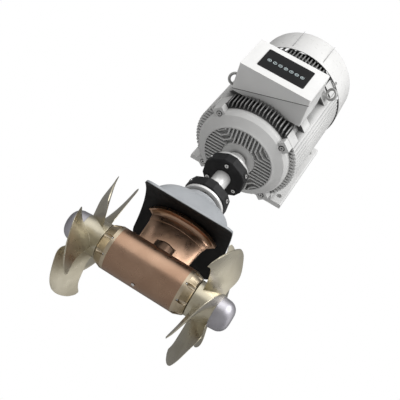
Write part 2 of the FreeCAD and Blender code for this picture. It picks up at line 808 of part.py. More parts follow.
def bell(inset):
    """Bell form that rises from the saddle to a round neck."""
    half_x = saddle_half_length - bell_rim - inset
    half_y = saddle_half_width - bell_rim - inset
    top_r = bell_top_r - inset
    sections = [rounded_rectangle(half_x, half_y, saddle_corner_r - 4, 200),
                rounded_rectangle(half_x - 3, half_y - 14, saddle_corner_r + 22, 280),
                rounded_rectangle(half_x - 34, half_y - 34, 90, 312),
                rounded_rectangle(top_r + 22, top_r + 14, top_r + 10, 346),
                rounded_rectangle(top_r + 0.5, top_r + 0.5, top_r, bell_top + (1 if inset else 0))]
    return Part.makeLoft(sections, True)


def saddle():
    """Bell casting: curved base plate, hollow bell, floor and a boss for the leg spigot."""
    under = tunnel_inner_r + tunnel_wall + gasket_thickness
    above = under + saddle_thickness
    plate = saddle_outline(150, 300).common(tube(above, under, -saddle_half_length, saddle_half_length, "x"))
    below = tube(above - 1, 0, -300, 300, "x")
    outer = bell(0.0).cut(below)
    roof = tube(bell_top_r, 0, bell_top - 12, bell_top + 5)
    boss = tube(spigot_r + bell_boss_wall, 0, 240, bell_top)
    hollow = bell(bell_wall).cut([roof, boss, tube(above, 0, -300, 300, "x")])
    body = fused([plate, outer]).cut(hollow)
    mouth = tube(spigot_r + run_clear, 0, 200, bell_top + 5)
    return cut_by(body, [mouth] + [dowel(side, dowel_r) for side in (-1, 1)])


def saddle_gasket():
    low = tunnel_inner_r + tunnel_wall
    high = low + gasket_thickness
    sheet = saddle_outline(150, 300).common(tube(high, low, -saddle_half_length, saddle_half_length, "x"))
    holes = [dowel(side, dowel_r + 0.5) for side in (-1, 1)]
    return cut_by(sheet, holes + [tube(spigot_r + 1, 0, 200, 300)])


def leg_dowels():
    return [dowel(side, dowel_r - run_clear) for side in (-1, 1)]


def clamp_nut():
    """Slotted round nut on the spigot that draws the leg up against the tunnel."""
    low = bell_top + seat_clear
    high = low + nut_thickness
    nut = revolved([(spigot_r + run_clear, low), (nut_r - 2, low), (nut_r, low + 2), (nut_r, high - 2),
                    (nut_r - 2, high), (spigot_r + run_clear, high)], "z")
    slot = box(nut_r - 6, nut_r + 4, -6, 6, low - 1, high + 1)
    return cut_by(nut, around(slot, 6, AXIS_Z, 15))


# Motor


def motor_frame():
    """Ribbed cast body with corner lugs, blocks for the eyes, feet and a terminal box pad."""
    core = tube(frame_r, 0, frame_front_z, frame_back_z)
    foot = foot_profile()
    feet = [foot, foot.mirror(ORIGIN, AXIS_X)]
    pad_half = box_half_x - box_pad_inset
    pad = box(-pad_half, pad_half, box_base_y, -150, box_front_z + 8, box_back_z - 8)
    body = fused([core, pad] + feet + corner_blocks() + frame_fins())
    bore = tube(frame_bore_r, 0, frame_front_z, frame_back_z)
    behind = tube(cowl_front_r + 6, 0, frame_back_z, foot_back_z + 1)
    seat = box(-box_half_x - 2, box_half_x + 2, -300, box_base_y, box_front_z - 2, box_back_z + 2)
    wire_hole = Part.makeCylinder(wire_hole_r, 120, V(wire_hole_x, -120, box_middle_z()), V(0, -1, 0))
    holes = [foot_hole(side, z) for side in (-1, 1) for z in foot_hole_heights()]
    for z in (frame_front_z - 1, frame_back_z - 40):
        holes += around(Part.makeCylinder(bolt_r + run_clear, 41, V(shield_bolt_circle_r, 0, z)), 4, AXIS_Z, 45)
    holes += [eye_hole(side, z) for side, z in zip((-1, 1), eye_block_z)]
    return cut_by(body, [bore, behind, seat, wire_hole] + holes)


def frame_fins():
    """Fins that stand along Y above and below the barrel, and along X at its sides."""
    front = frame_front_z + fin_setback
    envelope = tube(fin_tip_r, frame_r - 6, front, frame_back_z)
    steps = int(fin_reach / fin_pitch)
    fins = []
    for i in range(-steps, steps + 1):
        middle = i * fin_pitch
        half = fin_thickness / 2
        fins.append(box(middle - half, middle + half, -fin_tip_r, fin_tip_r, front, frame_back_z))
        half = side_fin_thickness / 2
        fins.append(box(-fin_tip_r, fin_tip_r, middle - half, middle + half, front, frame_back_z))
    return [piece for fin in fins for piece in fin.common(envelope).Solids]


def corner_blocks():
    """Lugs for the shield bolts at both ends, and blocks for the eyes on the two upper corners."""
    front = frame_front_z + fin_setback
    blocks = []
    for low, high in ((front, front + lug_length), (frame_back_z - lug_length, frame_back_z)):
        lug = box(frame_r - 25, lug_face_r, -lug_half_width, lug_half_width, low, high)
        blocks += around(lug, 4, AXIS_Z, 45)
    for z in eye_block_z:
        block = box(frame_r - 25, eye_block_face_r, -eye_block_half_width, eye_block_half_width,
                    z - eye_block_half_length, z + eye_block_half_length)
        blocks += [turned(block, -45), turned(block, -135)]
    return blocks


def box_middle_z():
    return (box_front_z + box_back_z) / 2


def foot_hole_heights():
    return [foot_first_hole_z, foot_first_hole_z + foot_hole_spacing]


def foot_hole(side, z):
    return Part.makeCylinder(foot_hole_r, 60, V(side * foot_hole_x, shaft_height - 50, z), V(0, 1, 0))


def foot_profile():
    """Right foot: a slab with a raised web, drawn along the motor."""
    top = shaft_height - foot_thickness
    points = [(foot_outer_x, shaft_height), (foot_outer_x, top + 4), (foot_outer_x - 6, top),
              (foot_inner_x + 22, top), (frame_r * 0.78, 150), (frame_r * 0.6, 120), (frame_r * 0.45, 170),
              (foot_inner_x - 14, shaft_height - 20), (foot_inner_x - 14, shaft_height)]
    slab = prism(points, foot_front_z, foot_back_z)
    relief = box(foot_inner_x + 20, foot_outer_x + 5, 100, top, foot_front_z + foot_relief_start,
                 foot_back_z - foot_relief_start)
    return slab.cut(relief)


def shield_ears(low, high):
    """Four corner lugs that take the shield bolts."""
    block = box(shield_bolt_circle_r - 30, ear_face_r, -ear_half_width, ear_half_width, low, high)
    edges = [edge for edge in block.Edges if edge.BoundBox.ZLength > 5 and edge.BoundBox.XMin > ear_face_r - 1]
    return around(block.makeFillet(ear_round, edges), 4, AXIS_Z, 45)


def drive_end_shield():
    """Cast shield with a deep ribbed face round the bearing."""
    back = frame_front_z - seat_clear
    inner = drive_bearing_z + motor_bearing_width
    cap_back = bearing_cap_front_z + bearing_cap_thickness
    profile = [(shield_r, back), (shield_r, back - 22), (shield_face_r, shield_face_z),
               (grille_r + 12, grille_front_z + 6), (grille_r + 5, grille_front_z), (grille_r, grille_front_z),
               (grille_r, grille_floor_z), (bearing_cap_r + 2, grille_floor_z),
               (bearing_cap_r + 2, cap_back), (motor_shaft_r + 6, cap_back),
               (motor_shaft_r + 6, drive_bearing_z), (motor_bearing_r, drive_bearing_z), (motor_bearing_r, inner),
               (motor_bearing_r + 12, inner), (motor_bearing_r + 12, grille_floor_z + 14),
               (frame_bore_r - 14, grille_floor_z + 26), (frame_bore_r - run_clear, back), ]
    body = revolved(profile, "z")
    ears = shield_ears(frame_front_z - ear_depth, back)
    body = fused([body] + ears + grille_ribs())
    hole = Part.makeCylinder(bolt_r + 0.6, 80, V(shield_bolt_circle_r, 0, frame_front_z - 70))
    recess = Part.makeCylinder(bolt_recess_r, 30, V(shield_bolt_circle_r, 0, front_bolt_seat_z() - 30))
    mouth = tube(motor_shaft_r + 6, 0, grille_front_z - 5, drive_bearing_z)
    return cut_by(body, around(hole, 4, AXIS_Z, 45) + around(recess, 4, AXIS_Z, 45) + [mouth])


def front_bolt_seat_z():
    return frame_front_z - ear_depth + bolt_recess_depth


def grille_angle(offset):
    """One angle shaped rib: two legs along X and Y joined by a slanting corner."""
    half = rib_thickness / 2
    low = grille_front_z
    high = grille_floor_z + 2
    meets_cap = offset * math.sqrt(2) + rib_chamfer / math.sqrt(2) < bearing_cap_r
    start = 0 if meets_cap else offset + rib_chamfer
    pieces = []
    if start < grille_r:
        pieces.append(box(start, grille_r + 2, offset - half, offset + half, low, high))
        pieces.append(box(offset - half, offset + half, start, grille_r + 2, low, high))
    if not meets_cap:
        corner = [(start, offset - half), (start, offset + half), (offset + half, start), (offset - half, start)]
        pieces.append(prism(corner, low, high))
    return fused(pieces)


def grille_ribs():
    """Nested angles in each quarter of the ring round the bearing cap."""
    ring = tube(grille_r + 1, bearing_cap_r + 1, grille_front_z + 1.5, grille_floor_z + 1)
    ribs = []
    for i in range(int(grille_r / math.sqrt(2) / rib_pitch)):
        angle = grille_angle((i + 0.5) * rib_pitch)
        for turn in range(4):
            ribs += turned(angle, 90 * turn).common(ring).Solids
    return ribs


def bearing_cap():
    """Smooth cover over the drive end bearing."""
    low = bearing_cap_front_z
    high = low + bearing_cap_thickness
    return revolved([(motor_shaft_r + 1, low + 2), (motor_shaft_r + 8, low), (bearing_cap_r - 3, low),
                     (bearing_cap_r, low + 3), (bearing_cap_r, high), (motor_shaft_r + 1, high)], "z")


def rear_end_shield():
    front = frame_back_z + seat_clear
    back = rear_bearing_z + motor_bearing_width
    profile = [(frame_bore_r - run_clear, front), (shield_r, front), (shield_r, front + 16),
               (shield_r - 20, front + 22), (motor_bearing_r + 16, back - 6), (motor_bearing_r + 12, back),
               (motor_bearing_r - 8, back), (motor_bearing_r - 8, back - 4), (motor_bearing_r, back - 4),
               (motor_bearing_r, rear_bearing_z - 4), (motor_bearing_r + 10, rear_bearing_z - 4),
               (motor_bearing_r + 12, front + 6), (frame_bore_r - 14, front + 4)]
    body = revolved(profile, "z")
    reach = tube(cowl_inner_r(front + rear_ear_depth) - seat_clear, 0, front, front + rear_ear_depth)
    ears = [ear.common(reach) for ear in shield_ears(front, front + rear_ear_depth)]
    lug = box(shield_bolt_circle_r - 10, cowl_front_r, -cowl_lug_half_width, cowl_lug_half_width,
              front, front + rear_ear_depth).common(reach)
    hole = Part.makeCylinder(bolt_r + 0.6, 60, V(shield_bolt_circle_r, 0, frame_back_z))
    thread = Part.makeCylinder(cowl_screw_r + run_clear, 60, V(cowl_thread_start_r(), 0, cowl_screw_z), AXIS_X)
    body = fused([body] + ears + around(lug, 4, AXIS_Z, 45))
    return cut_by(body, around(hole, 4, AXIS_Z, 45) + around(thread, 4, AXIS_Z, 45))


def cowl_inner_r(z):
    """Inside radius of the tapered cowl skirt at a height."""
    share = (z - cowl_front_z) / (cowl_back_z - cowl_round_r - cowl_front_z)
    return cowl_front_r - cowl_sheet - share * (cowl_front_r - cowl_back_r)


def cowl_thread_start_r():
    return shield_bolt_circle_r + bolt_head_r + 3


def shield_bolts():
    """Socket head bolts, sunk into the front ears and proud at the rear."""
    front = front_bolt_seat_z()
    socket_r = bolt_head_r * 0.6
    head = Part.makeCylinder(bolt_head_r, bolt_head_height, V(shield_bolt_circle_r, 0, front - bolt_head_height))
    shank = Part.makeCylinder(bolt_r, frame_front_z - front + 20, V(shield_bolt_circle_r, 0, front))
    socket = hexagon_z(socket_r, front - bolt_head_height - 1, front - bolt_head_height + 6, shield_bolt_circle_r)
    back = frame_back_z + seat_clear + rear_ear_depth
    rear_head = Part.makeCylinder(bolt_head_r, bolt_head_height, V(shield_bolt_circle_r, 0, back))
    rear_shank = Part.makeCylinder(bolt_r, 44, V(shield_bolt_circle_r, 0, back - 44))
    rear_socket = hexagon_z(socket_r, back + bolt_head_height - 6, back + bolt_head_height + 1, shield_bolt_circle_r)
    pieces = []
    for bolt in (head.fuse(shank).cut(socket), rear_head.fuse(rear_shank).cut(rear_socket)):
        pieces += around(bolt, 4, AXIS_Z, 45)
    return pieces


def motor_shaft():
    end = upper_flange_z - upper_flange_thickness + 1
    low = drive_bearing_z
    high = rear_bearing_z + motor_bearing_width
    profile = [(0, end), (motor_shaft_r - 2, end), (motor_shaft_r, end + 2), (motor_shaft_r, low - 4),
               (motor_shaft_r + 2, low - 4), (motor_shaft_r + 2, low + motor_bearing_width),
               (motor_shaft_r + 10, low + motor_bearing_width), (motor_shaft_r + 10, core_front_z),
               (motor_shaft_r + 14, core_front_z), (motor_shaft_r + 14, core_back_z),
               (motor_shaft_r + 10, core_back_z), (motor_shaft_r + 10, rear_bearing_z),
               (motor_shaft_r + 2, rear_bearing_z), (motor_shaft_r + 2, high), (motor_shaft_r - 4, high),
               (motor_shaft_r - 4, fan_z + fan_width + 12), (0, fan_z + fan_width + 12)]
    shaft = revolved(profile, "z")
    keyway = box(motor_shaft_r - 7, motor_shaft_r + 5, -9, 9, end + 6, bearing_cap_front_z - 12)
    return shaft.cut(keyway)


def shaft_key():
    end = upper_flange_z - upper_flange_thickness + 1
    return box(motor_shaft_r - 7, motor_shaft_r + 4, -9, 9, end + 6, bearing_cap_front_z - 12)


def stator_windings():
    """End turns of the winding, a rounded ring at each end of the core."""
    rings = []
    for face, way in ((core_front_z, -1), (core_back_z, 1)):
        low = min(face, face + way * winding_reach)
        ring = tube(frame_bore_r - 16, stator_bore_r + 12, low, low + winding_reach)
        edges = [edge for edge in ring.Edges if abs(edge.BoundBox.ZLength) < 0.01]
        rings.append(ring.makeChamfer(8, edges))
    return rings


def rotor_core():
    core = tube(stator_bore_r - air_gap, motor_shaft_r + 14, core_front_z, core_back_z)
    ring = tube(stator_bore_r - air_gap - 2, stator_bore_r - 30, core_front_z - 18, core_back_z + 18)
    return fused([core, ring.cut(core)])


def cooling_fan():
    """Radial fan with straight blades on a disc."""
    hub = tube(52, motor_shaft_r - 4 + run_clear, fan_z - 6, fan_z + fan_width)
    disc = tube(fan_r, 40, fan_z - 6, fan_z)
    blade_plate = box(48, fan_r, -2, 2, fan_z, fan_z + fan_width - 4)
    return fused([hub, disc] + around(blade_plate, fan_blades))


def cowl_profile(offset):
    """Edges of the cowl from its lip to the middle of the end wall."""
    r0 = cowl_front_r - offset
    r1 = cowl_back_r - offset
    back = cowl_back_z - offset
    lip = V(r0, 0, cowl_front_z)
    bend = V(r1, 0, back - cowl_round_r)
    curve = cowl_round_r - offset * 0.3
    middle = V(r1 - curve * (1 - math.cos(math.radians(45))), 0, back - cowl_round_r + cowl_round_r * 0.7071)
    flat = V(r1 - curve, 0, back)
    return lip, bend, middle, flat


def fan_cowl():
    """Sheet cowl: tapered skirt, rounded edge and an end wall with ring slots."""
    solids = []
    for offset in (0.0, cowl_sheet):
        lip, bend, middle, flat = cowl_profile(offset)
        axis_back = V(0, 0, flat.z)
        axis_front = V(0, 0, lip.z)
        edges = [Part.LineSegment(lip, bend).toShape(), Part.Arc(bend, middle, flat).toShape(),
                 Part.LineSegment(flat, axis_back).toShape(), Part.LineSegment(axis_back, axis_front).toShape(),
                 Part.LineSegment(axis_front, lip).toShape()]
        solids.append(Part.Face(Part.Wire(edges)).revolve(ORIGIN, AXIS_Z, 360))
    skin = solids[0].cut(solids[1])
    slots = []
    for index, radius in enumerate(range(40, 190, 18)):
        ring = tube(radius + 9, radius, cowl_back_z - 10, cowl_back_z + 10)
        slots.append(ring)
    bars = [turned(box(-300, 300, -5, 5, cowl_back_z - 12, cowl_back_z + 12), 45 * i) for i in range(4)]
    openings = Part.makeCompound(slots).cut(bars)
    hole = Part.makeCylinder(cowl_screw_r + 0.3, 60, V(cowl_thread_start_r(), 0, cowl_screw_z), AXIS_X)
    return cut_by(skin.cut(openings), around(hole, 4, AXIS_Z, 45))


# Terminal box, split between base and cover along a slanting line


def rounded_block(inset, low, high):
    half = box_half_x - inset
    block = box(-half, half, low, high, box_front_z + inset, box_back_z - inset)
    edges = [edge for edge in block.Edges if edge.BoundBox.YLength > 5]
    return block.makeFillet(box_corner_r, edges) if inset == 0 else block


def box_walls():
    outer = rounded_block(0, box_top_y, box_base_y - seat_clear)
    inner = rounded_block(box_wall, box_top_y + box_wall, box_base_y - seat_clear - box_wall)
    return outer.cut(inner)


def beside_split(low, high):
    """Wedge between two offsets from the split line, seen along Z."""
    reach = box_half_x + 40
    slope = (box_split_right_y - box_split_left_y) / (2 * box_half_x)
    centre = (box_split_right_y + box_split_left_y) / 2
    left = centre - slope * reach
    right = centre + slope * reach
    return prism([(-reach, left + low), (reach, right + low), (reach, right + high), (-reach, left + high)],
                 box_front_z - 5, box_back_z + 5)


def split_y(x):
    """Height of the split line between box base and cover."""
    return (box_split_left_y + box_split_right_y) / 2 + x * (box_split_right_y - box_split_left_y) / (2 * box_half_x)


def terminal_box_base():
    body = box_walls().common(beside_split(box_gasket / 2, 300))
    inner = box_back_z - box_wall
    tabs = []
    for x in cover_screw_x:
        y = split_y(x)
        left = x - tab_half_width
        right = x + tab_half_width
        low = inner - seat_clear - tab_thickness
        tabs.append(box(left, right, y - 2 * cover_screw_inset, y + 12, low, inner - seat_clear))
        tabs.append(box(left, right, y + 6, y + 12, low, inner + 1))
    hole = Part.makeCylinder(wire_hole_r, 60, V(wire_hole_x, box_base_y - 40, box_middle_z()), V(0, 1, 0))
    glands = [Part.makeCylinder(gland_r, 30, V(x, gland_y, box_back_z - 20), AXIS_Z) for x in gland_x]
    screws = [cover_screw_hole(x, cover_screw_r) for x in cover_screw_x]
    return cut_by(fused([body] + tabs), [hole] + glands + screws)


def cover_screw_hole(x, radius):
    return Part.makeCylinder(radius, 30, V(x, split_y(x) - cover_screw_inset, box_back_z - 20), AXIS_Z)


def terminal_box_cover():
    body = box_walls().common(beside_split(-300, -box_gasket / 2))
    return cut_by(body, [cover_screw_hole(x, cover_screw_r + 0.3) for x in cover_screw_x])


def box_gasket_ring():
    return box_walls().common(beside_split(-box_gasket / 2, box_gasket / 2))


def control_plate():
    plate = box(-plate_half_x, plate_half_x, box_top_y - plate_thickness, box_top_y, plate_front_z, plate_back_z)
    edges = [edge for edge in plate.Edges if edge.BoundBox.YLength > 1]
    return plate.makeFillet(6, edges)


def terminal_block():
    floor = box_base_y - seat_clear - box_wall
    middle = box_middle_z()
    base = box(-40, 100, floor - 26, floor, middle - 25, middle + 25)
    studs = [Part.makeCylinder(4, 22, V(x, floor - 26, middle + z), V(0, -1, 0))
             for x in (-10, 30, 70) for z in (-12, 12)]
    return fused([base] + studs)


def cable_glands():
    """Hexagon glands with a domed nut, in the back wall of the box base."""
    glands = []
    for x in gland_x:
        body = Part.makeCylinder(gland_r - run_clear, 14, V(x, gland_y, box_back_z - 12), AXIS_Z)
        collar = hexagon_z(gland_hex_r, box_back_z, box_back_z + 10, x, gland_y)
        dome = Part.makeCone(gland_hex_r - 3, gland_bore_r + 3, 16, V(x, gland_y, box_back_z + 10), AXIS_Z)
        bore = Part.makeCylinder(gland_bore_r, 60, V(x, gland_y, box_back_z - 20), AXIS_Z)
        glands.append(fused([body, collar, dome]).cut(bore))
    return glands


def cover_screws():
    """Screws through the back wall of the cover into the tabs of the base."""
    screws = []
    low = box_back_z - box_wall - seat_clear - tab_thickness
    for x in cover_screw_x:
        y = split_y(x) - cover_screw_inset
        head = Part.makeCylinder(2 * cover_screw_r, 3.5, V(x, y, box_back_z), AXIS_Z)
        shank = Part.makeCylinder(cover_screw_r - run_clear, box_back_z - low, V(x, y, low), AXIS_Z)
        screws.append(head.fuse(shank))
    return screws


def cowl_screws():
    """Screws that hold the cowl skirt to the lugs of the rear shield."""
    start = cowl_thread_start_r()
    seat = cowl_inner_r(cowl_screw_z) + cowl_sheet + 2 * seat_clear
    head = Part.makeCylinder(2 * cowl_screw_r, 3, V(seat, 0, cowl_screw_z), AXIS_X)
    shank = Part.makeCylinder(cowl_screw_r, seat - start, V(start, 0, cowl_screw_z), AXIS_X)
    return around(head.fuse(shank), 4, AXIS_Z, 45)


def eye_hole(side, z):
    """Threaded seat of a lifting eye in its block."""
    angle = math.radians(eye_angle)
    out = V(side * math.cos(angle), -math.sin(angle), 0)
    start = out * (eye_block_face_r - 22) + V(0, 0, z)
    return Part.makeCylinder(8 + seat_clear, 60, start, out)


def lifting_eyes():
    """Ring bolts on two opposite corner blocks."""
    eyes = []
    angle = math.radians(eye_angle)
    for side, z in zip((-1, 1), eye_block_z):
        ring = Part.makeTorus(eye_ring_r, eye_wire_r, ORIGIN, AXIS_Z)
        reach = eye_centre_r - eye_block_face_r
        collar = Part.makeCone(15, 8, reach - eye_ring_r, V(-reach, 0, 0), AXIS_X)
        stem = Part.makeCylinder(8, 21, V(-reach - 20, 0, 0), AXIS_X)
        eye = fused([ring, collar, stem])
        eye.rotate(ORIGIN, AXIS_X, -side * eye_tilt)
        eye.rotate(ORIGIN, AXIS_Z, -eye_angle if side > 0 else 180 + eye_angle)
        eye.translate(V(side * math.cos(angle), -math.sin(angle), 0) * eye_centre_r + V(0, 0, z))
        eyes.append(eye)
    return eyes


def drain_plug():
    head = Part.makeCylinder(plug_head_r, plug_head_height, V(plug_x, 0, plug_seat_z - plug_head_height), AXIS_Z)
    shank = Part.makeCylinder(plug_r - run_clear, -pod_bore_r - plug_seat_z, V(plug_x, 0, plug_seat_z), AXIS_Z)
    return head.fuse(shank)


def build():
    save("gear_leg", gear_leg())
    save("pod_drain_plug", drain_plug())
    ring = end_ring()
    bolts = ring_bolts()
    prop = propeller()
    shaft = prop_shaft()
    crown = crown_gear()
    cap = anode_cap()
    save("end_ring_bolts", bolts + [mirrored_x(bolt) for bolt in bolts])
    right = {"end_ring": [ring], "propeller": [prop], "propeller_shaft": [shaft],
             "crown_gear": [crown], "anode": [cap], "anode_screw": [anode_screw()],
             "propeller_nut": [propeller_nut()], "propeller_key": [propeller_key()]}
    end = pod_half + ring_length
    inner, outer, rollers = bearing_rings(shaft_collar_r + run_clear, leg_bearing_r - run_clear,
                                          pod_half - ring_seat_depth, pod_half - ring_seat_depth + 40, "x")
    right["shaft_bearing_inner"] = [inner]
    right["shaft_bearing_outer"] = [outer] + rollers
    for name, shapes in right.items():
        save(name + "_right", shapes)
        save(name + "_left", [mirrored_x(shape) for shape in shapes])

    save("input_shaft", input_shaft())
    save("pinion", pinion())
    top = pinion_bearing_top()
    inner, outer, rollers = bearing_rings(input_shaft_r + run_clear, leg_bearing_r - run_clear,
                                          top - leg_bearing_width, top)
    upper = spigot_top - 6
    drive_inner = [inner]
    drive_outer = [outer] + rollers
    places = [(input_shaft_r, leg_bearing_r, upper - leg_bearing_width, upper),
              (motor_shaft_r + 2, motor_bearing_r, drive_bearing_z, drive_bearing_z + motor_bearing_width),
              (motor_shaft_r + 2, motor_bearing_r, rear_bearing_z, rear_bearing_z + motor_bearing_width - 4.2)]
    for shaft_r, seat_r, low, high in places:
        inner, outer, rollers = bearing_rings(shaft_r + run_clear, seat_r - run_clear, low, high)
        drive_inner.append(inner)
        drive_outer += [outer] + rollers
    save("drive_bearing_inner_rings", drive_inner)
    save("drive_bearing_outer_rings", drive_outer)
    seal = tube(shaft_collar_r + 4 - run_clear, shaft_collar_r + run_clear, end - 15, end, "x")
    input_seal = tube(leg_bearing_r - run_clear, input_shaft_r + run_clear, upper + 0.5, spigot_top - 0.5)
    save("shaft_seals", [seal, mirrored_x(seal), input_seal])
    save("saddle_bell", saddle())
    save("saddle_gasket", saddle_gasket())
    save("leg_dowels", leg_dowels())
    save("clamp_nut", clamp_nut())
    save("lower_coupling_hub", lower_coupling_hub())
    lip = lower_element_z() + element_thickness - element_lip
    save("lower_rubber_element", rubber_element(lower_element_z(), lip))
    save("joint_shaft", joint_shaft())
    save("upper_rubber_element", rubber_element(upper_element_z(), upper_element_z()))
    save("upper_coupling_hub", upper_coupling_hub())
    save("coupling_axial_screws", axial_screws())
    save("coupling_radial_screws", radial_screws())

    save("motor_frame", motor_frame())
    save("drive_end_shield", drive_end_shield())
    save("bearing_cap", bearing_cap())
    save("rear_end_shield", rear_end_shield())
    save("shield_bolts", shield_bolts())
    save("motor_shaft", motor_shaft())
    save("motor_shaft_key", shaft_key())
    save("stator_core", tube(frame_bore_r - run_clear, stator_bore_r, core_front_z, core_back_z))
    save("stator_windings", stator_windings())
    save("rotor_core", rotor_core())
    save("cooling_fan", cooling_fan())
    save("fan_cowl", fan_cowl())
    save("terminal_box_base", terminal_box_base())
    save("terminal_box_cover", terminal_box_cover())
    save("terminal_box_gasket", box_gasket_ring())
    save("control_plate", control_plate())
    save("terminal_block", terminal_block())
    save("cable_glands", cable_glands())
    save("cover_screws", cover_screws())
    save("cowl_screws", cowl_screws())
    save("lifting_eyes", lifting_eyes())


build()
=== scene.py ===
import json
import math

import bmesh
import bpy
from mathutils import Matrix, Vector


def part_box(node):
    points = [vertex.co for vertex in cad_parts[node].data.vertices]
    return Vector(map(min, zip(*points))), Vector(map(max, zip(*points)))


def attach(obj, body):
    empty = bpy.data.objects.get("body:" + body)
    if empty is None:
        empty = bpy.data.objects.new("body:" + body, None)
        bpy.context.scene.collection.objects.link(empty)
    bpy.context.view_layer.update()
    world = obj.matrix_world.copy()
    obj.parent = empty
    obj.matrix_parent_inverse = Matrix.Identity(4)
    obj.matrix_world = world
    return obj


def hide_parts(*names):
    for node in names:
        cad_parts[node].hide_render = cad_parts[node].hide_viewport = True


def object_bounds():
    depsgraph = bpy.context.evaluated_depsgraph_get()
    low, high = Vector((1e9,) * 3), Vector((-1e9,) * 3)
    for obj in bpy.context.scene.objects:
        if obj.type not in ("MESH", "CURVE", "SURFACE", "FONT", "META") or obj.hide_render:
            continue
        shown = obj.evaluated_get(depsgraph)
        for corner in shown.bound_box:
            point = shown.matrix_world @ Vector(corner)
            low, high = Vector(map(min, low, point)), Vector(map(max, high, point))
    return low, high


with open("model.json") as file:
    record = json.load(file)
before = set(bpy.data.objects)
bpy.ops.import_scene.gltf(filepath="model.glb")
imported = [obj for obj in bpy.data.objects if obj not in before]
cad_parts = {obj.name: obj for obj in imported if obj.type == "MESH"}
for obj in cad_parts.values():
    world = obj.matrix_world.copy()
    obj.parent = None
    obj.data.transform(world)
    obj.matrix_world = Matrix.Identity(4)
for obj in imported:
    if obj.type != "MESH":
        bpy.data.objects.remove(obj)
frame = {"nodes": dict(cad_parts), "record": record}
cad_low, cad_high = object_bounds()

# The frame is in metres. Lengths written times MM are given in millimetres.
MM = 0.001

# Camera of the photograph, in the frame of the model
CAMERA_PLACE = Vector((0.4701, -2.1179, -1.4425))
IMAGE_RIGHT = Vector((0.8476, -0.2249, 0.4806))
IMAGE_UP = Vector((-0.5027, -0.6303, 0.5916))
TOWARD_CAMERA = Vector((0.1699, -0.7431, -0.6473))
LENS = 66.08
SENSOR_WIDTH = 36.0
FAR_CLIP = 50.0

# Studio: one large disk of light, glows in the sky and a floor that the camera looks up from
KEY_FROM = Vector((0.6, -0.7, 0.35))
KEY_DISTANCE = 3.4
KEY_POWER = 75.0
KEY_SIZE = 3.0
SKY_COLOUR = (1.0, 0.995, 0.985, 1.0)
SKY_LOW = 0.24
SKY_GLOWS = (  # direction, cosine where it starts, cosine where it is full, strength
    (Vector((-0.1, -0.9, 0.4)), 0.6, 0.98, 1.1),
    (Vector((0.97, 0.0, -0.2)), 0.3, 0.95, 0.8),
    (Vector((-0.2, -0.5, -0.85)), 0.2, 1.0, 0.22),
)
FLOOR_DEPTH = -3.4
FLOOR_HALF = 30.0
FLOOR_PALE = (0.84, 0.84, 0.84)
FLOOR_DULL = (0.80, 0.80, 0.80)

# Colours, linear
COPPER = (0.50, 0.325, 0.225)
COPPER_DARK = (0.41, 0.255, 0.17)
BRONZE = (0.60, 0.555, 0.44)
BRONZE_DARK = (0.50, 0.455, 0.345)
BRASS = (0.56, 0.48, 0.36)
BRASS_DARK = (0.47, 0.39, 0.28)
ZINC = (0.50, 0.49, 0.53)
ZINC_DARK = (0.40, 0.39, 0.42)
STEEL = (0.78, 0.775, 0.77)
STEEL_DARK = (0.55, 0.55, 0.55)
SHEET_DARK = (0.3, 0.3, 0.31)
GEAR_GREY = (0.32, 0.32, 0.33)
NUT_GREY = (0.20, 0.20, 0.195)
SHAFT_LIGHT = (0.90, 0.90, 0.895)
# Painted shade in the screw sockets
SOCKET_SHADE = (0.05, 0.05, 0.05)
GALVANISED = (0.52, 0.52, 0.515)
WINDING = (0.55, 0.22, 0.10)
RUBBER = (0.012, 0.012, 0.013)
RUBBER_LIGHT = (0.02, 0.02, 0.021)
BLOCK_BROWN = (0.30, 0.12, 0.06)
FAN_BLACK = (0.03, 0.03, 0.03)
SADDLE = (0.34, 0.36, 0.38)
SADDLE_LIGHT = (0.46, 0.475, 0.50)
ENAMEL = (0.62, 0.62, 0.615)
ENAMEL_LIGHT = (0.74, 0.74, 0.735)
WHITE = (0.86, 0.86, 0.855)
WHITE_DARK = (0.78, 0.78, 0.775)
COWL_WHITE = (0.78, 0.78, 0.775)
COWL_DARK = (0.71, 0.71, 0.705)
PLATE = (0.006, 0.006, 0.007)
PLATE_WORN = (0.014, 0.014, 0.015)
ICON = (0.60, 0.70, 0.72)
# Painted shade along the cowl's lap seams
SEAM_SHADE = (0.33, 0.33, 0.33)

# Rays that each bevel and each test for narrow gaps may use
SURFACE_SAMPLES = 6

# Castings: edges, grain and the brighter worn edges
CAST_EDGE = 1.2 * MM
CAST_GRAIN = 0.012 * MM
WORN_EDGE = 1.5 * MM
WORN_SHARE = 0.35
WORN_GAIN = 1.35
WORN_SHARPNESS = 6.0

# Painted shade on the round boss at the foot of the strut, and on the pod's underside
CHEEK_R = 46.0 * MM
CHEEK_FROM = 60.0 * MM
CHEEK_TO = 115.0 * MM
CHEEK_SHADE_TONE = 0.22
POD_LOW = -85.0 * MM
UNDERSIDE_SHADE_SHARE = 0.45
UNDERSIDE_SHADE_TONE = 0.5

# Fins of the motor frame, with painted shade between them and a painted shadow of the box over them
FIN_PITCH = 16.6 * MM
FIN_EDGE = 1.0 * MM
FIN_EDGE_END = 1.8 * MM
FIN_EDGE_SHARE = 0.45
FIN_GAP_SHARE = 0.85
FIN_FIELD_X = 138.0 * MM
FIN_FIELD_Y = -170.0 * MM
SHADE_HALF = 170.0 * MM
SHADE_FADE = 20.0 * MM
BOX_BACK = 1.13
BOX_SHADOW_SHARE = 0.8
SIDE_GAP_SHADE_SHARE = 0.3
FIN_SHADE_TONE = 0.16

# Reach and tone of the painted shade in gaps and hollows
GAP_SHADE_REACH = 18.0 * MM
GAP_SHADE_TONE = 0.62
DEEP_GAP = 60.0 * MM
COWL_GAP = 90.0 * MM
COWL_INSIDE_SHADE_TONE = 0.15
SOCKET_GAP = 5.0 * MM


def dimmed(colour, share):
    return tuple(part * share for part in colour)


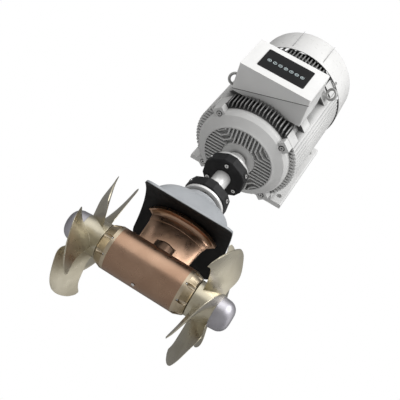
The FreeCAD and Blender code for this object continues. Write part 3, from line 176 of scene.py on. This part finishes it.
class Finish:
    """Node tree of one material, built step by step on its Principled shader."""

    def __init__(self, name, metallic, roughness):
        self.material = bpy.data.materials.new(name)
        self.material.use_nodes = True
        self.nodes = self.material.node_tree.nodes
        self.links = self.material.node_tree.links
        self.shader = self.nodes["Principled BSDF"]
        self.roughness = roughness
        self.shader.inputs["Metallic"].default_value = metallic
        self.shader.inputs["Roughness"].default_value = roughness
        self.place = self.nodes.new("ShaderNodeTexCoord").outputs["Object"]
        self.normal = None

    def add(self, kind, **values):
        made = self.nodes.new(kind)
        for name, value in values.items():
            setattr(made, name, value)
        return made

    def feed(self, socket, value):
        """Puts a constant or another node's output into a socket."""
        if isinstance(value, bpy.types.NodeSocket):
            self.links.new(value, socket)
        elif isinstance(value, tuple) and len(value) == 3 and socket.type == "RGBA":
            socket.default_value = (*value, 1.0)
        else:
            socket.default_value = value

    def math(self, operation, first, second=0.0, clamp=False):
        made = self.add("ShaderNodeMath", operation=operation, use_clamp=clamp)
        self.feed(made.inputs[0], first)
        self.feed(made.inputs[1], second)
        return made.outputs[0]

    def product(self, first, *others):
        for other in others:
            first = self.math("MULTIPLY", first, other)
        return first

    def opposite(self, share):
        return self.math("SUBTRACT", 1.0, share)

    def split(self):
        """The X, Y and Z of the place, each on its own."""
        parts = self.add("ShaderNodeSeparateXYZ")
        self.feed(parts.inputs[0], self.place)
        return parts.outputs

    def length(self, first, second):
        """Length of two parts at right angles."""
        squares = [self.math("MULTIPLY", part, part) for part in (first, second)]
        return self.math("SQRT", self.math("ADD", *squares))

    def turned(self, axis):
        """Coordinates that only change along the axis and with the radius, for lathe marks."""
        parts = self.split()
        others = [parts[name] for name in "XYZ" if name != axis]
        joined = self.add("ShaderNodeCombineXYZ")
        self.feed(joined.inputs["X"], self.length(*others))
        self.feed(joined.inputs["Z"], parts[axis])
        return joined.outputs[0]

    def stretched(self, scale):
        """Coordinates scaled along each axis."""
        made = self.add("ShaderNodeMapping")
        self.feed(made.inputs["Vector"], self.place)
        made.inputs["Scale"].default_value = scale
        return made.outputs["Vector"]

    def noise(self, scale, detail, at=None, distortion=0.0):
        """Noise with this many large spots per metre."""
        made = self.add("ShaderNodeTexNoise")
        self.feed(made.inputs["Vector"], self.place if at is None else at)
        made.inputs["Scale"].default_value = scale
        made.inputs["Detail"].default_value = detail
        made.inputs["Distortion"].default_value = distortion
        return made.outputs["Fac"]

    def spread(self, value, low, high, to_low=0.0, to_high=1.0):
        """Value from low to high, spread over another range and held at its ends."""
        made = self.add("ShaderNodeMapRange")
        self.feed(made.inputs["Value"], value)
        made.inputs["From Min"].default_value = low
        made.inputs["From Max"].default_value = high
        made.inputs["To Min"].default_value = to_low
        made.inputs["To Max"].default_value = to_high
        return made.outputs[0]

    def fade(self, value, start, end):
        """1 up to the start and 0 from the end on."""
        return self.spread(value, start, end, 1.0, 0.0)

    def mix(self, share, first, second):
        made = self.add("ShaderNodeMix", data_type="RGBA")
        self.feed(made.inputs["Factor"], share)
        colours = [socket for socket in made.inputs if socket.type == "RGBA"]
        self.feed(colours[0], first)
        self.feed(colours[1], second)
        return next(socket for socket in made.outputs if socket.type == "RGBA")

    def bevel(self, radius):
        """Normal that a small bevel of this radius would give."""
        made = self.add("ShaderNodeBevel", samples=SURFACE_SAMPLES)
        made.inputs["Radius"].default_value = radius
        return made.outputs["Normal"]

    def rounded(self, radius):
        """Soft edges."""
        self.normal = self.bevel(radius)

    def edge_mask(self, radius):
        """1 on sharp edges and 0 on open faces."""
        bevelled = self.bevel(radius)
        flat = self.add("ShaderNodeNewGeometry").outputs["Normal"]
        dot = self.add("ShaderNodeVectorMath", operation="DOT_PRODUCT")
        self.feed(dot.inputs[0], bevelled)
        self.feed(dot.inputs[1], flat)
        lost = self.opposite(dot.outputs["Value"])
        return self.math("MULTIPLY", lost, WORN_SHARPNESS, clamp=True)

    def cavity(self, distance, low=0.35, high=0.95):
        """0 in narrow gaps and 1 in the open."""
        made = self.add("ShaderNodeAmbientOcclusion", samples=SURFACE_SAMPLES)
        made.inputs["Distance"].default_value = distance
        return self.spread(made.outputs["AO"], low, high)

    def bump(self, height, depth):
        """Relief of this depth on top of the normal so far."""
        made = self.add("ShaderNodeBump")
        self.feed(made.inputs["Height"], height)
        made.inputs["Distance"].default_value = depth
        made.inputs["Strength"].default_value = 1.0
        if self.normal is not None:
            self.feed(made.inputs["Normal"], self.normal)
        self.normal = made.outputs["Normal"]

    def cloudy_roughness(self, scale, detail, smoother, rougher):
        """Roughness that varies in clouds about the finish's own."""
        low = self.roughness - smoother
        high = self.roughness + rougher
        rough = self.spread(self.noise(scale, detail), 0.3, 0.7, low, high)
        self.feed(self.shader.inputs["Roughness"], rough)

    def coat(self, weight, roughness):
        self.shader.inputs["Coat Weight"].default_value = weight
        self.shader.inputs["Coat Roughness"].default_value = roughness

    def specular(self, level):
        self.shader.inputs["Specular IOR Level"].default_value = level

    def done(self, colour):
        self.feed(self.shader.inputs["Base Color"], colour)
        if self.normal is not None:
            self.feed(self.shader.inputs["Normal"], self.normal)
        return self.material


def as_cast(finish, tone):
    return tone


def cheek_shade(finish, tone):
    """Painted shade on the round boss at the foot of the strut, and painted shade darker towards
    the pod's underside.
    """
    x, y, z = finish.split()
    radius = finish.length(x, y)
    inside = finish.fade(radius, CHEEK_R + 0.5 * MM, CHEEK_R + 1.5 * MM)
    above = finish.spread(z, CHEEK_FROM - 1.0 * MM, CHEEK_FROM)
    below = finish.fade(z, CHEEK_TO, CHEEK_TO + 1.0 * MM)
    # Painted shade: the boss and the low side of the pod are darkened by position
    boss = finish.product(inside, above, below)
    underside = finish.spread(z, POD_LOW, 0.0, UNDERSIDE_SHADE_SHARE, 0.0)
    tone = finish.mix(underside, tone, dimmed(COPPER_DARK, UNDERSIDE_SHADE_TONE))
    return finish.mix(boss, tone, dimmed(COPPER_DARK, CHEEK_SHADE_TONE))


def cast_metal(name, light, dark, roughness, grain, coat, shade=as_cast):
    """Smoothly ground casting: cloudy tone, fine grain and brighter worn edges."""
    finish = Finish(name, 1.0, roughness)
    clouds = finish.noise(scale=9.0, detail=4.0, distortion=0.4)
    fine = finish.noise(scale=grain, detail=3.0)
    finish.rounded(CAST_EDGE)
    finish.bump(fine, CAST_GRAIN)
    tone = finish.mix(finish.spread(clouds, 0.35, 0.65), dark, light)
    worn = finish.product(finish.edge_mask(WORN_EDGE), WORN_SHARE)
    tone = finish.mix(worn, tone, tuple(min(1.0, part * WORN_GAIN) for part in light))
    tone = shade(finish, tone)
    finish.cloudy_roughness(35.0, 5.0, 0.05, 0.07)
    finish.coat(coat, 0.25)
    return finish.done(tone)


def turned_metal(name, light, dark, axis, roughness):
    """Lathe finish: fine rings about an axis."""
    finish = Finish(name, 1.0, roughness)
    around = finish.turned(axis)
    marks = finish.noise(900.0, 2.0, at=around)
    bands = finish.noise(60.0, 2.0, at=around)
    finish.rounded(0.6 * MM)
    finish.bump(marks, 0.02 * MM)
    tone = finish.mix(finish.spread(bands, 0.3, 0.7), dark, light)
    rough = finish.spread(marks, 0.3, 0.7, roughness - 0.04, roughness + 0.06)
    finish.feed(finish.shader.inputs["Roughness"], rough)
    return finish.done(tone)


def bright_shaft(name):
    """Ground and lacquered steel, pale from every side, with fine rings."""
    finish = Finish(name, 0.35, 0.24)
    marks = finish.noise(900.0, 2.0, at=finish.turned("Z"))
    finish.rounded(0.6 * MM)
    finish.bump(marks, 0.01 * MM)
    return finish.done(finish.mix(marks, STEEL, SHAFT_LIGHT))


# Painted shade in narrow gaps, darker the narrower the gap
def shade_in_gaps(finish, tone):
    return finish.mix(finish.cavity(GAP_SHADE_REACH), dimmed(ENAMEL, GAP_SHADE_TONE), tone)


def fin_shade(finish, tone):
    """Painted shade between the fins: deep on the box and foot sides, light on the other two.

    About the box, painted shade leaves only the thin middle of each fin light, and behind the box
    it is a painted shadow of the box."""
    x, y, z = finish.split()
    away = finish.math("ABSOLUTE", x)
    near = finish.fade(away, SHADE_HALF, SHADE_HALF + SHADE_FADE)
    # Painted shade in the narrow gaps between the fins, weaker on the two sides away from the box
    # and foot
    fin_gap_shade = finish.opposite(finish.cavity(GAP_SHADE_REACH))
    fin_gap_shade = finish.product(fin_gap_shade, finish.spread(near, 0.0, 1.0, SIDE_GAP_SHADE_SHARE, 1.0))
    tone = finish.mix(fin_gap_shade, tone, dimmed(ENAMEL, GAP_SHADE_TONE))
    deep = finish.product(finish.opposite(finish.cavity(DEEP_GAP, 0.55, 1.0)), near)
    # Painted shade that leaves only the thin middle of each fin light about the box
    off_fin = finish.math("PINGPONG", away, FIN_PITCH / 2)
    off_fin = finish.spread(off_fin, FIN_EDGE, FIN_EDGE_END, FIN_EDGE_SHARE, FIN_GAP_SHARE)
    # Painted shadow of the box over the fins behind it
    box_shadow = finish.spread(z, BOX_BACK, BOX_BACK + SHADE_FADE, 0.0, BOX_SHADOW_SHARE)
    off_fin = finish.math("MAXIMUM", off_fin, box_shadow)
    box_side = finish.fade(y, FIN_FIELD_Y, FIN_FIELD_Y + 10.0 * MM)
    middle = finish.fade(away, FIN_FIELD_X, FIN_FIELD_X + 4.0 * MM)
    off_fin = finish.product(off_fin, box_side, middle)
    return finish.mix(finish.math("MAXIMUM", deep, off_fin), tone, dimmed(ENAMEL, FIN_SHADE_TONE))


def hollow_shade(finish, tone):
    """Painted shade inside the cowl, seen through the gap about the frame."""
    outside = finish.cavity(COWL_GAP, 0.35, 0.85)
    return finish.mix(outside, dimmed(COWL_DARK, COWL_INSIDE_SHADE_TONE), tone)


def enamel(name, light, dark, roughness, texture, depth, shade=shade_in_gaps):
    """Sprayed enamel over a casting or sheet: slight orange peel, and painted shade in the gaps."""
    finish = Finish(name, 0.0, roughness)
    peel = finish.noise(texture, 3.0)
    finish.rounded(1.0 * MM)
    finish.bump(peel, depth)
    clouds = finish.spread(finish.noise(6.0, 4.0), 0.3, 0.7)
    tone = shade(finish, finish.mix(clouds, dark, light))
    finish.cloudy_roughness(40.0, 4.0, 0.05, 0.08)
    finish.coat(0.12, 0.2)
    return finish.done(tone)


def moulded_rubber(name, roughness):
    finish = Finish(name, 0.0, roughness)
    skin = finish.noise(700.0, 3.0)
    finish.rounded(1.0 * MM)
    finish.bump(skin, 0.05 * MM)
    finish.specular(0.22)
    tone = finish.mix(finish.spread(finish.noise(14.0, 4.0), 0.35, 0.7), RUBBER, RUBBER_LIGHT)
    finish.cloudy_roughness(50.0, 4.0, 0.06, 0.1)
    return finish.done(tone)


def bright_screw(name):
    """Machined screws, with painted shade down in their sockets."""
    finish = Finish(name, 1.0, 0.28)
    gaps = finish.cavity(SOCKET_GAP, 0.45, 0.9)
    finish.rounded(0.5 * MM)
    finish.bump(finish.noise(1500.0, 2.0), 0.02 * MM)
    return finish.done(finish.mix(gaps, SOCKET_SHADE, STEEL))


def lacquered_plate(name):
    finish = Finish(name, 0.0, 0.45)
    finish.specular(0.12)
    finish.rounded(0.4 * MM)
    finish.bump(finish.noise(1200.0, 2.0), 0.01 * MM)
    return finish.done(finish.mix(finish.noise(25.0, 3.0), PLATE, PLATE_WORN))


def printed_mark(name, colour):
    finish = Finish(name, 0.0, 0.5)
    return finish.done(finish.mix(finish.noise(900.0, 2.0), colour, dimmed(colour, 0.8)))


def plain(name, colour, metallic, roughness):
    """Even finish with a fine grain, for the eyes, the clamp nut and pieces inside."""
    finish = Finish(name, metallic, roughness)
    finish.bump(finish.noise(300.0, 3.0), 0.05 * MM)
    return finish.done(finish.mix(finish.noise(30.0, 4.0), dimmed(colour, 0.75), colour))


def laminated(name):
    """Stack of thin steel sheets."""
    finish = Finish(name, 0.9, 0.45)
    sheets = finish.noise(1.0, 1.0, at=finish.stretched((2.0, 2.0, 1600.0)))
    finish.bump(sheets, 0.1 * MM)
    return finish.done(finish.mix(sheets, STEEL_DARK, SHEET_DARK))


def make_materials():
    """One material for each slot of the record."""
    return {
        "leg_bronze": cast_metal("pod_copper", COPPER, COPPER_DARK, roughness=0.30, grain=420.0,
                                 coat=0.15, shade=cheek_shade),
        "blade_bronze": cast_metal("blade_bronze", BRONZE, BRONZE_DARK, roughness=0.30, grain=500.0,
                                   coat=0.35),
        "anode_zinc": cast_metal("anode_zinc", ZINC, ZINC_DARK, roughness=0.42, grain=260.0,
                                 coat=0.1),
        "ring_brass": turned_metal("ring_brass", BRASS, BRASS_DARK, "X", roughness=0.30),
        "brass_trim": turned_metal("brass_trim", BRASS, BRASS_DARK, "Z", roughness=0.32),
        "bearing_steel": turned_metal("bearing_steel", STEEL, STEEL_DARK, "Z", roughness=0.18),
        "shaft_steel": bright_shaft("shaft_steel"),
        "hub_steel": bright_shaft("hub_steel"),
        "stainless": bright_screw("bright_screw"),
        "dark_steel": plain("dark_steel", NUT_GREY, metallic=0.6, roughness=0.42),
        "gear_steel": plain("gear_steel", GEAR_GREY, metallic=1.0, roughness=0.35),
        "copper_winding": plain("copper_winding", WINDING, metallic=0.9, roughness=0.35),
        "block_plastic": plain("block_plastic", BLOCK_BROWN, metallic=0.0, roughness=0.5),
        "fan_plastic": plain("fan_plastic", FAN_BLACK, metallic=0.0, roughness=0.5),
        "lamination": laminated("lamination"),
        "black_rubber": moulded_rubber("black_rubber", roughness=0.62),
        "element_rubber": moulded_rubber("element_rubber", roughness=0.45),
        "saddle_cast": enamel("saddle_paint", SADDLE_LIGHT, SADDLE, roughness=0.34, texture=260.0,
                              depth=0.04 * MM),
        "motor_grey": enamel("motor_enamel", ENAMEL_LIGHT, ENAMEL, roughness=0.40, texture=320.0,
                             depth=0.06 * MM, shade=fin_shade),
        "shield_grey": enamel("shield_enamel", ENAMEL_LIGHT, ENAMEL, roughness=0.42, texture=320.0,
                              depth=0.06 * MM),
        "cowl_white": enamel("cowl_enamel", COWL_WHITE, COWL_DARK, roughness=0.30, texture=420.0,
                             depth=0.02 * MM, shade=hollow_shade),
        "cover_white": enamel("cover_enamel", WHITE, WHITE_DARK, roughness=0.34, texture=380.0,
                              depth=0.03 * MM),
        "box_grey": enamel("box_enamel", ENAMEL_LIGHT, ENAMEL, roughness=0.38, texture=340.0,
                           depth=0.05 * MM),
        "plate_black": lacquered_plate("plate_black"),
    }


def dress_cad_nodes(slots, special):
    """Gives each piece from the frame the material of its slot, or its own."""
    for part in frame["record"]["subparts"]:
        shown = frame["nodes"][part["node"]]
        shown.data.materials.clear()
        shown.data.materials.append(special.get(part["node"], slots[part["material_slot"]]))


def shown_object(name, mesh, material):
    mesh.materials.append(material)
    piece = bpy.data.objects.new(name, mesh)
    bpy.context.scene.collection.objects.link(piece)
    return piece


def fixed_piece(name, vertices, faces, material):
    """Mesh that rides on the housing."""
    mesh = bpy.data.meshes.new(name)
    mesh.from_pydata(vertices, [], faces)
    mesh.update()
    piece = shown_object(name, mesh, material)
    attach(piece, "housing")
    return piece


# Saddle with bell, in millimetres
SADDLE_HALF_X = 184.0
SADDLE_HALF_Y = 161.0
SADDLE_CORNER = 32.0
SADDLE_UNDER_R = 264.0
SADDLE_ABOVE_R = 274.0
UNDER_INSET = 0.8
BELL_FOOT_X = 160.0
BELL_FOOT_Y = 142.0
BELL_FOOT_CORNER = 70.0
BELL_FOOT_SINK = 0.5
BELL_FULLNESS = 0.6
BELL_NECK_R = 84.5
BELL_TOP = 372.0
NECK_LENGTH = 14.0
NECK_EDGE_HEIGHT = 2.0
NECK_EDGE_DEPTH = 1.5
MOUTH_R = 52.3
RING_POINTS = 240
FLARE_RINGS = 22
UNDER_RINGS = 12
PLATE_EDGE = (  # inset, extra corner radius and radius about the tunnel's axis, from below to above
    (0.0, 0.0, SADDLE_UNDER_R + 1.2),
    (0.0, 0.0, SADDLE_ABOVE_R - 3.5),
    (1.2, 0.0, SADDLE_ABOVE_R - 1.0),
    (4.0, 0.0, SADDLE_ABOVE_R),
    (14.0, 6.0, SADDLE_ABOVE_R),
)


def rounded_reach(half_x, half_y, corner, angle):
    """Distance from the middle of a rounded rectangle to its edge, along an angle."""
    along = abs(math.cos(angle))
    across = abs(math.sin(angle))
    reach = min(half_x / max(along, 1e-6), half_y / max(across, 1e-6))
    corner_x = half_x - corner
    corner_y = half_y - corner
    if reach * along > corner_x and reach * across > corner_y:
        shadow = corner_x * along + corner_y * across
        reach = shadow + math.sqrt(shadow * shadow - corner_x ** 2 - corner_y ** 2 + corner ** 2)
    return reach


def plate_reach(inset, extra_corner, angle):
    """Distance from the middle of the plate to its outline, or to a line inset from it."""
    corner = SADDLE_CORNER + extra_corner
    return rounded_reach(SADDLE_HALF_X - inset, SADDLE_HALF_Y - inset, corner, angle)


def tunnel_height(radius, y):
    """Height over the propeller axis of a cylinder about it."""
    return math.sqrt(radius * radius - y * y)


def ring(reach_and_height):
    """Closed ring of points. The function gives the reach and the height at each angle."""
    points = []
    for i in range(RING_POINTS):
        angle = 2 * math.pi * i / RING_POINTS
        reach, z = reach_and_height(angle)
        points.append(Vector((reach * math.cos(angle), reach * math.sin(angle), z)) * MM)
    return points


def under_ring(share):
    """Ring of the curved underside, from the mouth at 0 to the outer edge at 1."""
    def at(angle):
        reach = MOUTH_R + (plate_reach(UNDER_INSET, 0.0, angle) - MOUTH_R) * share
        return reach, tunnel_height(SADDLE_UNDER_R, reach * math.sin(angle))
    return ring(at)


def edge_ring(inset, extra_corner, radius):
    """Ring of the plate's rounded edge, on a cylinder about the tunnel's axis."""
    def at(angle):
        reach = plate_reach(inset, extra_corner, angle)
        return reach, tunnel_height(radius, reach * math.sin(angle))
    return ring(at)


def flare_ring(share):
    """Ring of the bell, from its foot on the plate at 0 to the round neck at 1."""
    quarter = share * math.pi / 2
    inward = share - BELL_FULLNESS * (math.sin(quarter) - share)
    upward = share - BELL_FULLNESS * (1 - math.cos(quarter) - share)

    def at(angle):
        foot = rounded_reach(BELL_FOOT_X, BELL_FOOT_Y, BELL_FOOT_CORNER, angle)
        foot_z = tunnel_height(SADDLE_ABOVE_R - BELL_FOOT_SINK, foot * math.sin(angle))
        reach = foot + (BELL_NECK_R - foot) * inward
        return reach, foot_z + (BELL_TOP - NECK_LENGTH - foot_z) * upward
    return ring(at)


def round_ring(radius, z):
    return ring(lambda angle: (radius, z))


def saddle_shell(material):
    """Thin base plate that follows the tunnel, with a full-sided bell up to the neck."""
    rings = [under_ring(k / UNDER_RINGS) for k in range(UNDER_RINGS + 1)]
    rings += [edge_ring(*edge) for edge in PLATE_EDGE]
    rings += [flare_ring(k / FLARE_RINGS) for k in range(FLARE_RINGS + 1)]
    rings += [round_ring(BELL_NECK_R, BELL_TOP - NECK_EDGE_HEIGHT),
              round_ring(BELL_NECK_R - NECK_EDGE_DEPTH, BELL_TOP),
              round_ring(MOUTH_R, BELL_TOP)]
    vertices = [point for points in rings for point in points]
    faces = []
    for k in range(len(rings)):
        start = k * RING_POINTS
        after = (k + 1) % len(rings) * RING_POINTS
        for i in range(RING_POINTS):
            j = (i + 1) % RING_POINTS
            faces.append((start + i, start + j, after + j, after + i))
    piece = fixed_piece("saddle_shell", vertices, faces, material)
    piece.data.polygons.foreach_set("use_smooth", [True] * len(piece.data.polygons))
    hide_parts("saddle_bell")


# Control plate marks
MARK_COUNT = 7
MARK_PITCH = 25.0 * MM
MARK_BELOW = 4.0 * MM
MARK_R = 8.5 * MM
MARK_SIDES = 32
MARK_RAISE = 0.3 * MM
MARK_LINE = 2.0 * MM
DOT_R = MARK_R * 0.35
DOT_HOLE_R = MARK_R * 0.05
DOT_SIDES = 16
BAR_HALF = MARK_R * 0.5


def ring_faces(bm, x, z, outer, inner, sides, lift):
    """Flat ring facing -Y, a little off the plate."""
    rows = []
    for radius in (outer, inner):
        row = []
        for i in range(sides):
            angle = 2 * math.pi * i / sides
            place = (x + radius * math.cos(angle), lift, z + radius * math.sin(angle))
            row.append(bm.verts.new(place))
        rows.append(row)
    for i in range(sides):
        j = (i + 1) % sides
        bm.faces.new((rows[0][i], rows[0][j], rows[1][j], rows[1][i]))


def bar_faces(bm, x, z, half_x, half_z, lift):
    corners = ((x - half_x, z - half_z), (x + half_x, z - half_z), (x + half_x, z + half_z),
               (x - half_x, z + half_z))
    bm.faces.new([bm.verts.new((corner_x, lift, corner_z)) for corner_x, corner_z in corners])


def control_marks(material):
    """Row of plain round marks with a dot, an upright bar or a level bar, and no lettering."""
    low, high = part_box("control_plate")
    middle = (low + high) / 2
    z = middle.z - MARK_BELOW
    lift = low.y - MARK_RAISE
    bm = bmesh.new()
    for i in range(MARK_COUNT):
        x = middle.x + (i - (MARK_COUNT - 1) / 2) * MARK_PITCH
        ring_faces(bm, x, z, MARK_R, MARK_R - MARK_LINE, MARK_SIDES, lift)
        if i % 3 == 0:
            ring_faces(bm, x, z, DOT_R, DOT_HOLE_R, DOT_SIDES, lift)
        elif i % 3 == 1:
            bar_faces(bm, x, z, MARK_LINE / 2, BAR_HALF, lift)
        else:
            bar_faces(bm, x, z, BAR_HALF, MARK_LINE / 2, lift)
    mesh = bpy.data.meshes.new("control_marks")
    bm.to_mesh(mesh)
    bm.free()
    marks = shown_object("control_marks", mesh, material)
    marks.modifiers.new("thickness", "SOLIDIFY").thickness = MARK_RAISE
    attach(marks, "housing")


# Lap seams of the rolled cowl, coloured as painted shade lines
SEAM_ANGLES = (-109.0, -71.0)
SEAM_WIDTH = 1.6 * MM
SEAM_RISE = 0.5 * MM
SEAM_START = 1.262
SEAM_END = 1.405
SEAM_STEPS = 6
SEAM_POINTS = 4


def cowl_seams(material):
    """Narrow raised edges along the cowl where its sheets overlap, coloured dark as painted shade
    lines.
    """
    low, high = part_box("fan_cowl")
    radius = (high.x - low.x) / 2
    for number, degrees in enumerate(SEAM_ANGLES):
        vertices = []
        for step in range(SEAM_STEPS + 1):
            share = step / SEAM_STEPS
            angle = math.radians(degrees) + (share - 0.5) * SEAM_WIDTH / radius
            rise = SEAM_RISE * math.sin(math.pi * share)
            for reach in (radius - SEAM_RISE, radius + rise):
                for z in (SEAM_START, SEAM_END):
                    vertices.append(Vector((reach * math.cos(angle), reach * math.sin(angle), z)))
        last = SEAM_POINTS * SEAM_STEPS
        faces = []
        for a in range(0, last, SEAM_POINTS):
            b = a + SEAM_POINTS
            faces += [(a + 2, b + 2, b + 3, a + 3), (a, a + 1, b + 1, b), (a, b, b + 2, a + 2),
                      (a + 1, a + 3, b + 3, b + 1)]
        faces += [(0, 2, 3, 1), (last, last + 1, last + 3, last + 2)]
        fixed_piece("cowl_seam_%d" % number, vertices, faces, material)


def make_camera():
    data = bpy.data.cameras.new("camera")
    data.lens = LENS
    data.sensor_width = SENSOR_WIDTH
    data.clip_end = FAR_CLIP
    camera = bpy.data.objects.new("camera", data)
    axes = Matrix((IMAGE_RIGHT, IMAGE_UP, TOWARD_CAMERA)).transposed()
    camera.matrix_world = Matrix.Translation(CAMERA_PLACE) @ axes.to_4x4()
    bpy.context.scene.collection.objects.link(camera)
    bpy.context.scene.camera = camera


def make_key_light(aim):
    """Large disk of light that looks at the middle of the object."""
    data = bpy.data.lights.new("key", "AREA")
    data.shape = "DISK"
    data.size = KEY_SIZE
    data.energy = KEY_POWER
    light = bpy.data.objects.new("key", data)
    away = KEY_FROM.normalized()
    light.location = aim + away * KEY_DISTANCE
    light.rotation_mode = "QUATERNION"
    light.rotation_quaternion = away.to_track_quat("Z", "Y")
    bpy.context.scene.collection.objects.link(light)


def sky_level(nodes, links):
    """Brightness of the sky: an even level and a soft glow about each direction."""
    coords = nodes.new("ShaderNodeTexCoord")
    level = nodes.new("ShaderNodeValue").outputs[0]
    level.default_value = SKY_LOW
    for toward, start, full, strength in SKY_GLOWS:
        dot = nodes.new("ShaderNodeVectorMath")
        dot.operation = "DOT_PRODUCT"
        dot.inputs[1].default_value = toward.normalized()
        links.new(coords.outputs["Generated"], dot.inputs[0])
        glow = nodes.new("ShaderNodeMapRange")
        glow.interpolation_type = "SMOOTHSTEP"
        glow.inputs["From Min"].default_value = start
        glow.inputs["From Max"].default_value = full
        glow.inputs["To Max"].default_value = strength
        links.new(dot.outputs["Value"], glow.inputs["Value"])
        total = nodes.new("ShaderNodeMath")
        links.new(level, total.inputs[0])
        links.new(glow.outputs[0], total.inputs[1])
        level = total.outputs[0]
    return level


def make_world():
    """Studio sky that lights the object, and plain white where the camera looks past it."""
    world = bpy.data.worlds.new("studio")
    bpy.context.scene.world = world
    world.use_nodes = True
    nodes = world.node_tree.nodes
    links = world.node_tree.links
    nodes.clear()
    lit = nodes.new("ShaderNodeBackground")
    lit.inputs["Color"].default_value = SKY_COLOUR
    links.new(sky_level(nodes, links), lit.inputs["Strength"])
    seen = nodes.new("ShaderNodeBackground")
    seen.inputs["Color"].default_value = (1.0, 1.0, 1.0, 1.0)
    paths = nodes.new("ShaderNodeLightPath")
    join = nodes.new("ShaderNodeMixShader")
    links.new(paths.outputs["Is Camera Ray"], join.inputs[0])
    links.new(lit.outputs[0], join.inputs[1])
    links.new(seen.outputs[0], join.inputs[2])
    out = nodes.new("ShaderNodeOutputWorld")
    links.new(join.outputs[0], out.inputs["Surface"])


def make_floor():
    """Plain pale floor, well below the camera, because the photograph looks up at the thruster."""
    finish = Finish("floor_white", 0.0, 0.7)
    material = finish.done(finish.mix(finish.noise(0.8, 2.0), FLOOR_DULL, FLOOR_PALE))
    mesh = bpy.data.meshes.new("floor")
    signs = ((-1, -1), (1, -1), (1, 1), (-1, 1))
    corners = [(x * FLOOR_HALF, y * FLOOR_HALF, FLOOR_DEPTH) for x, y in signs]
    mesh.from_pydata(corners, [], [(0, 1, 2, 3)])
    shown_object("floor", mesh, material)


slots = make_materials()
galvanised = plain("galvanised", GALVANISED, metallic=0.35, roughness=0.42)
dress_cad_nodes(slots, {"lifting_eyes": galvanised, "pod_drain_plug": slots["stainless"]})
control_marks(printed_mark("icon_print", ICON))
saddle_shell(slots["saddle_cast"])
# The seams are coloured dark as painted shade lines
cowl_seams(printed_mark("seam_painted_shade", SEAM_SHADE))

make_camera()
make_world()
make_floor()
make_key_light((cad_low + cad_high) / 2)
bpy.context.scene.view_settings.view_transform = "Standard"
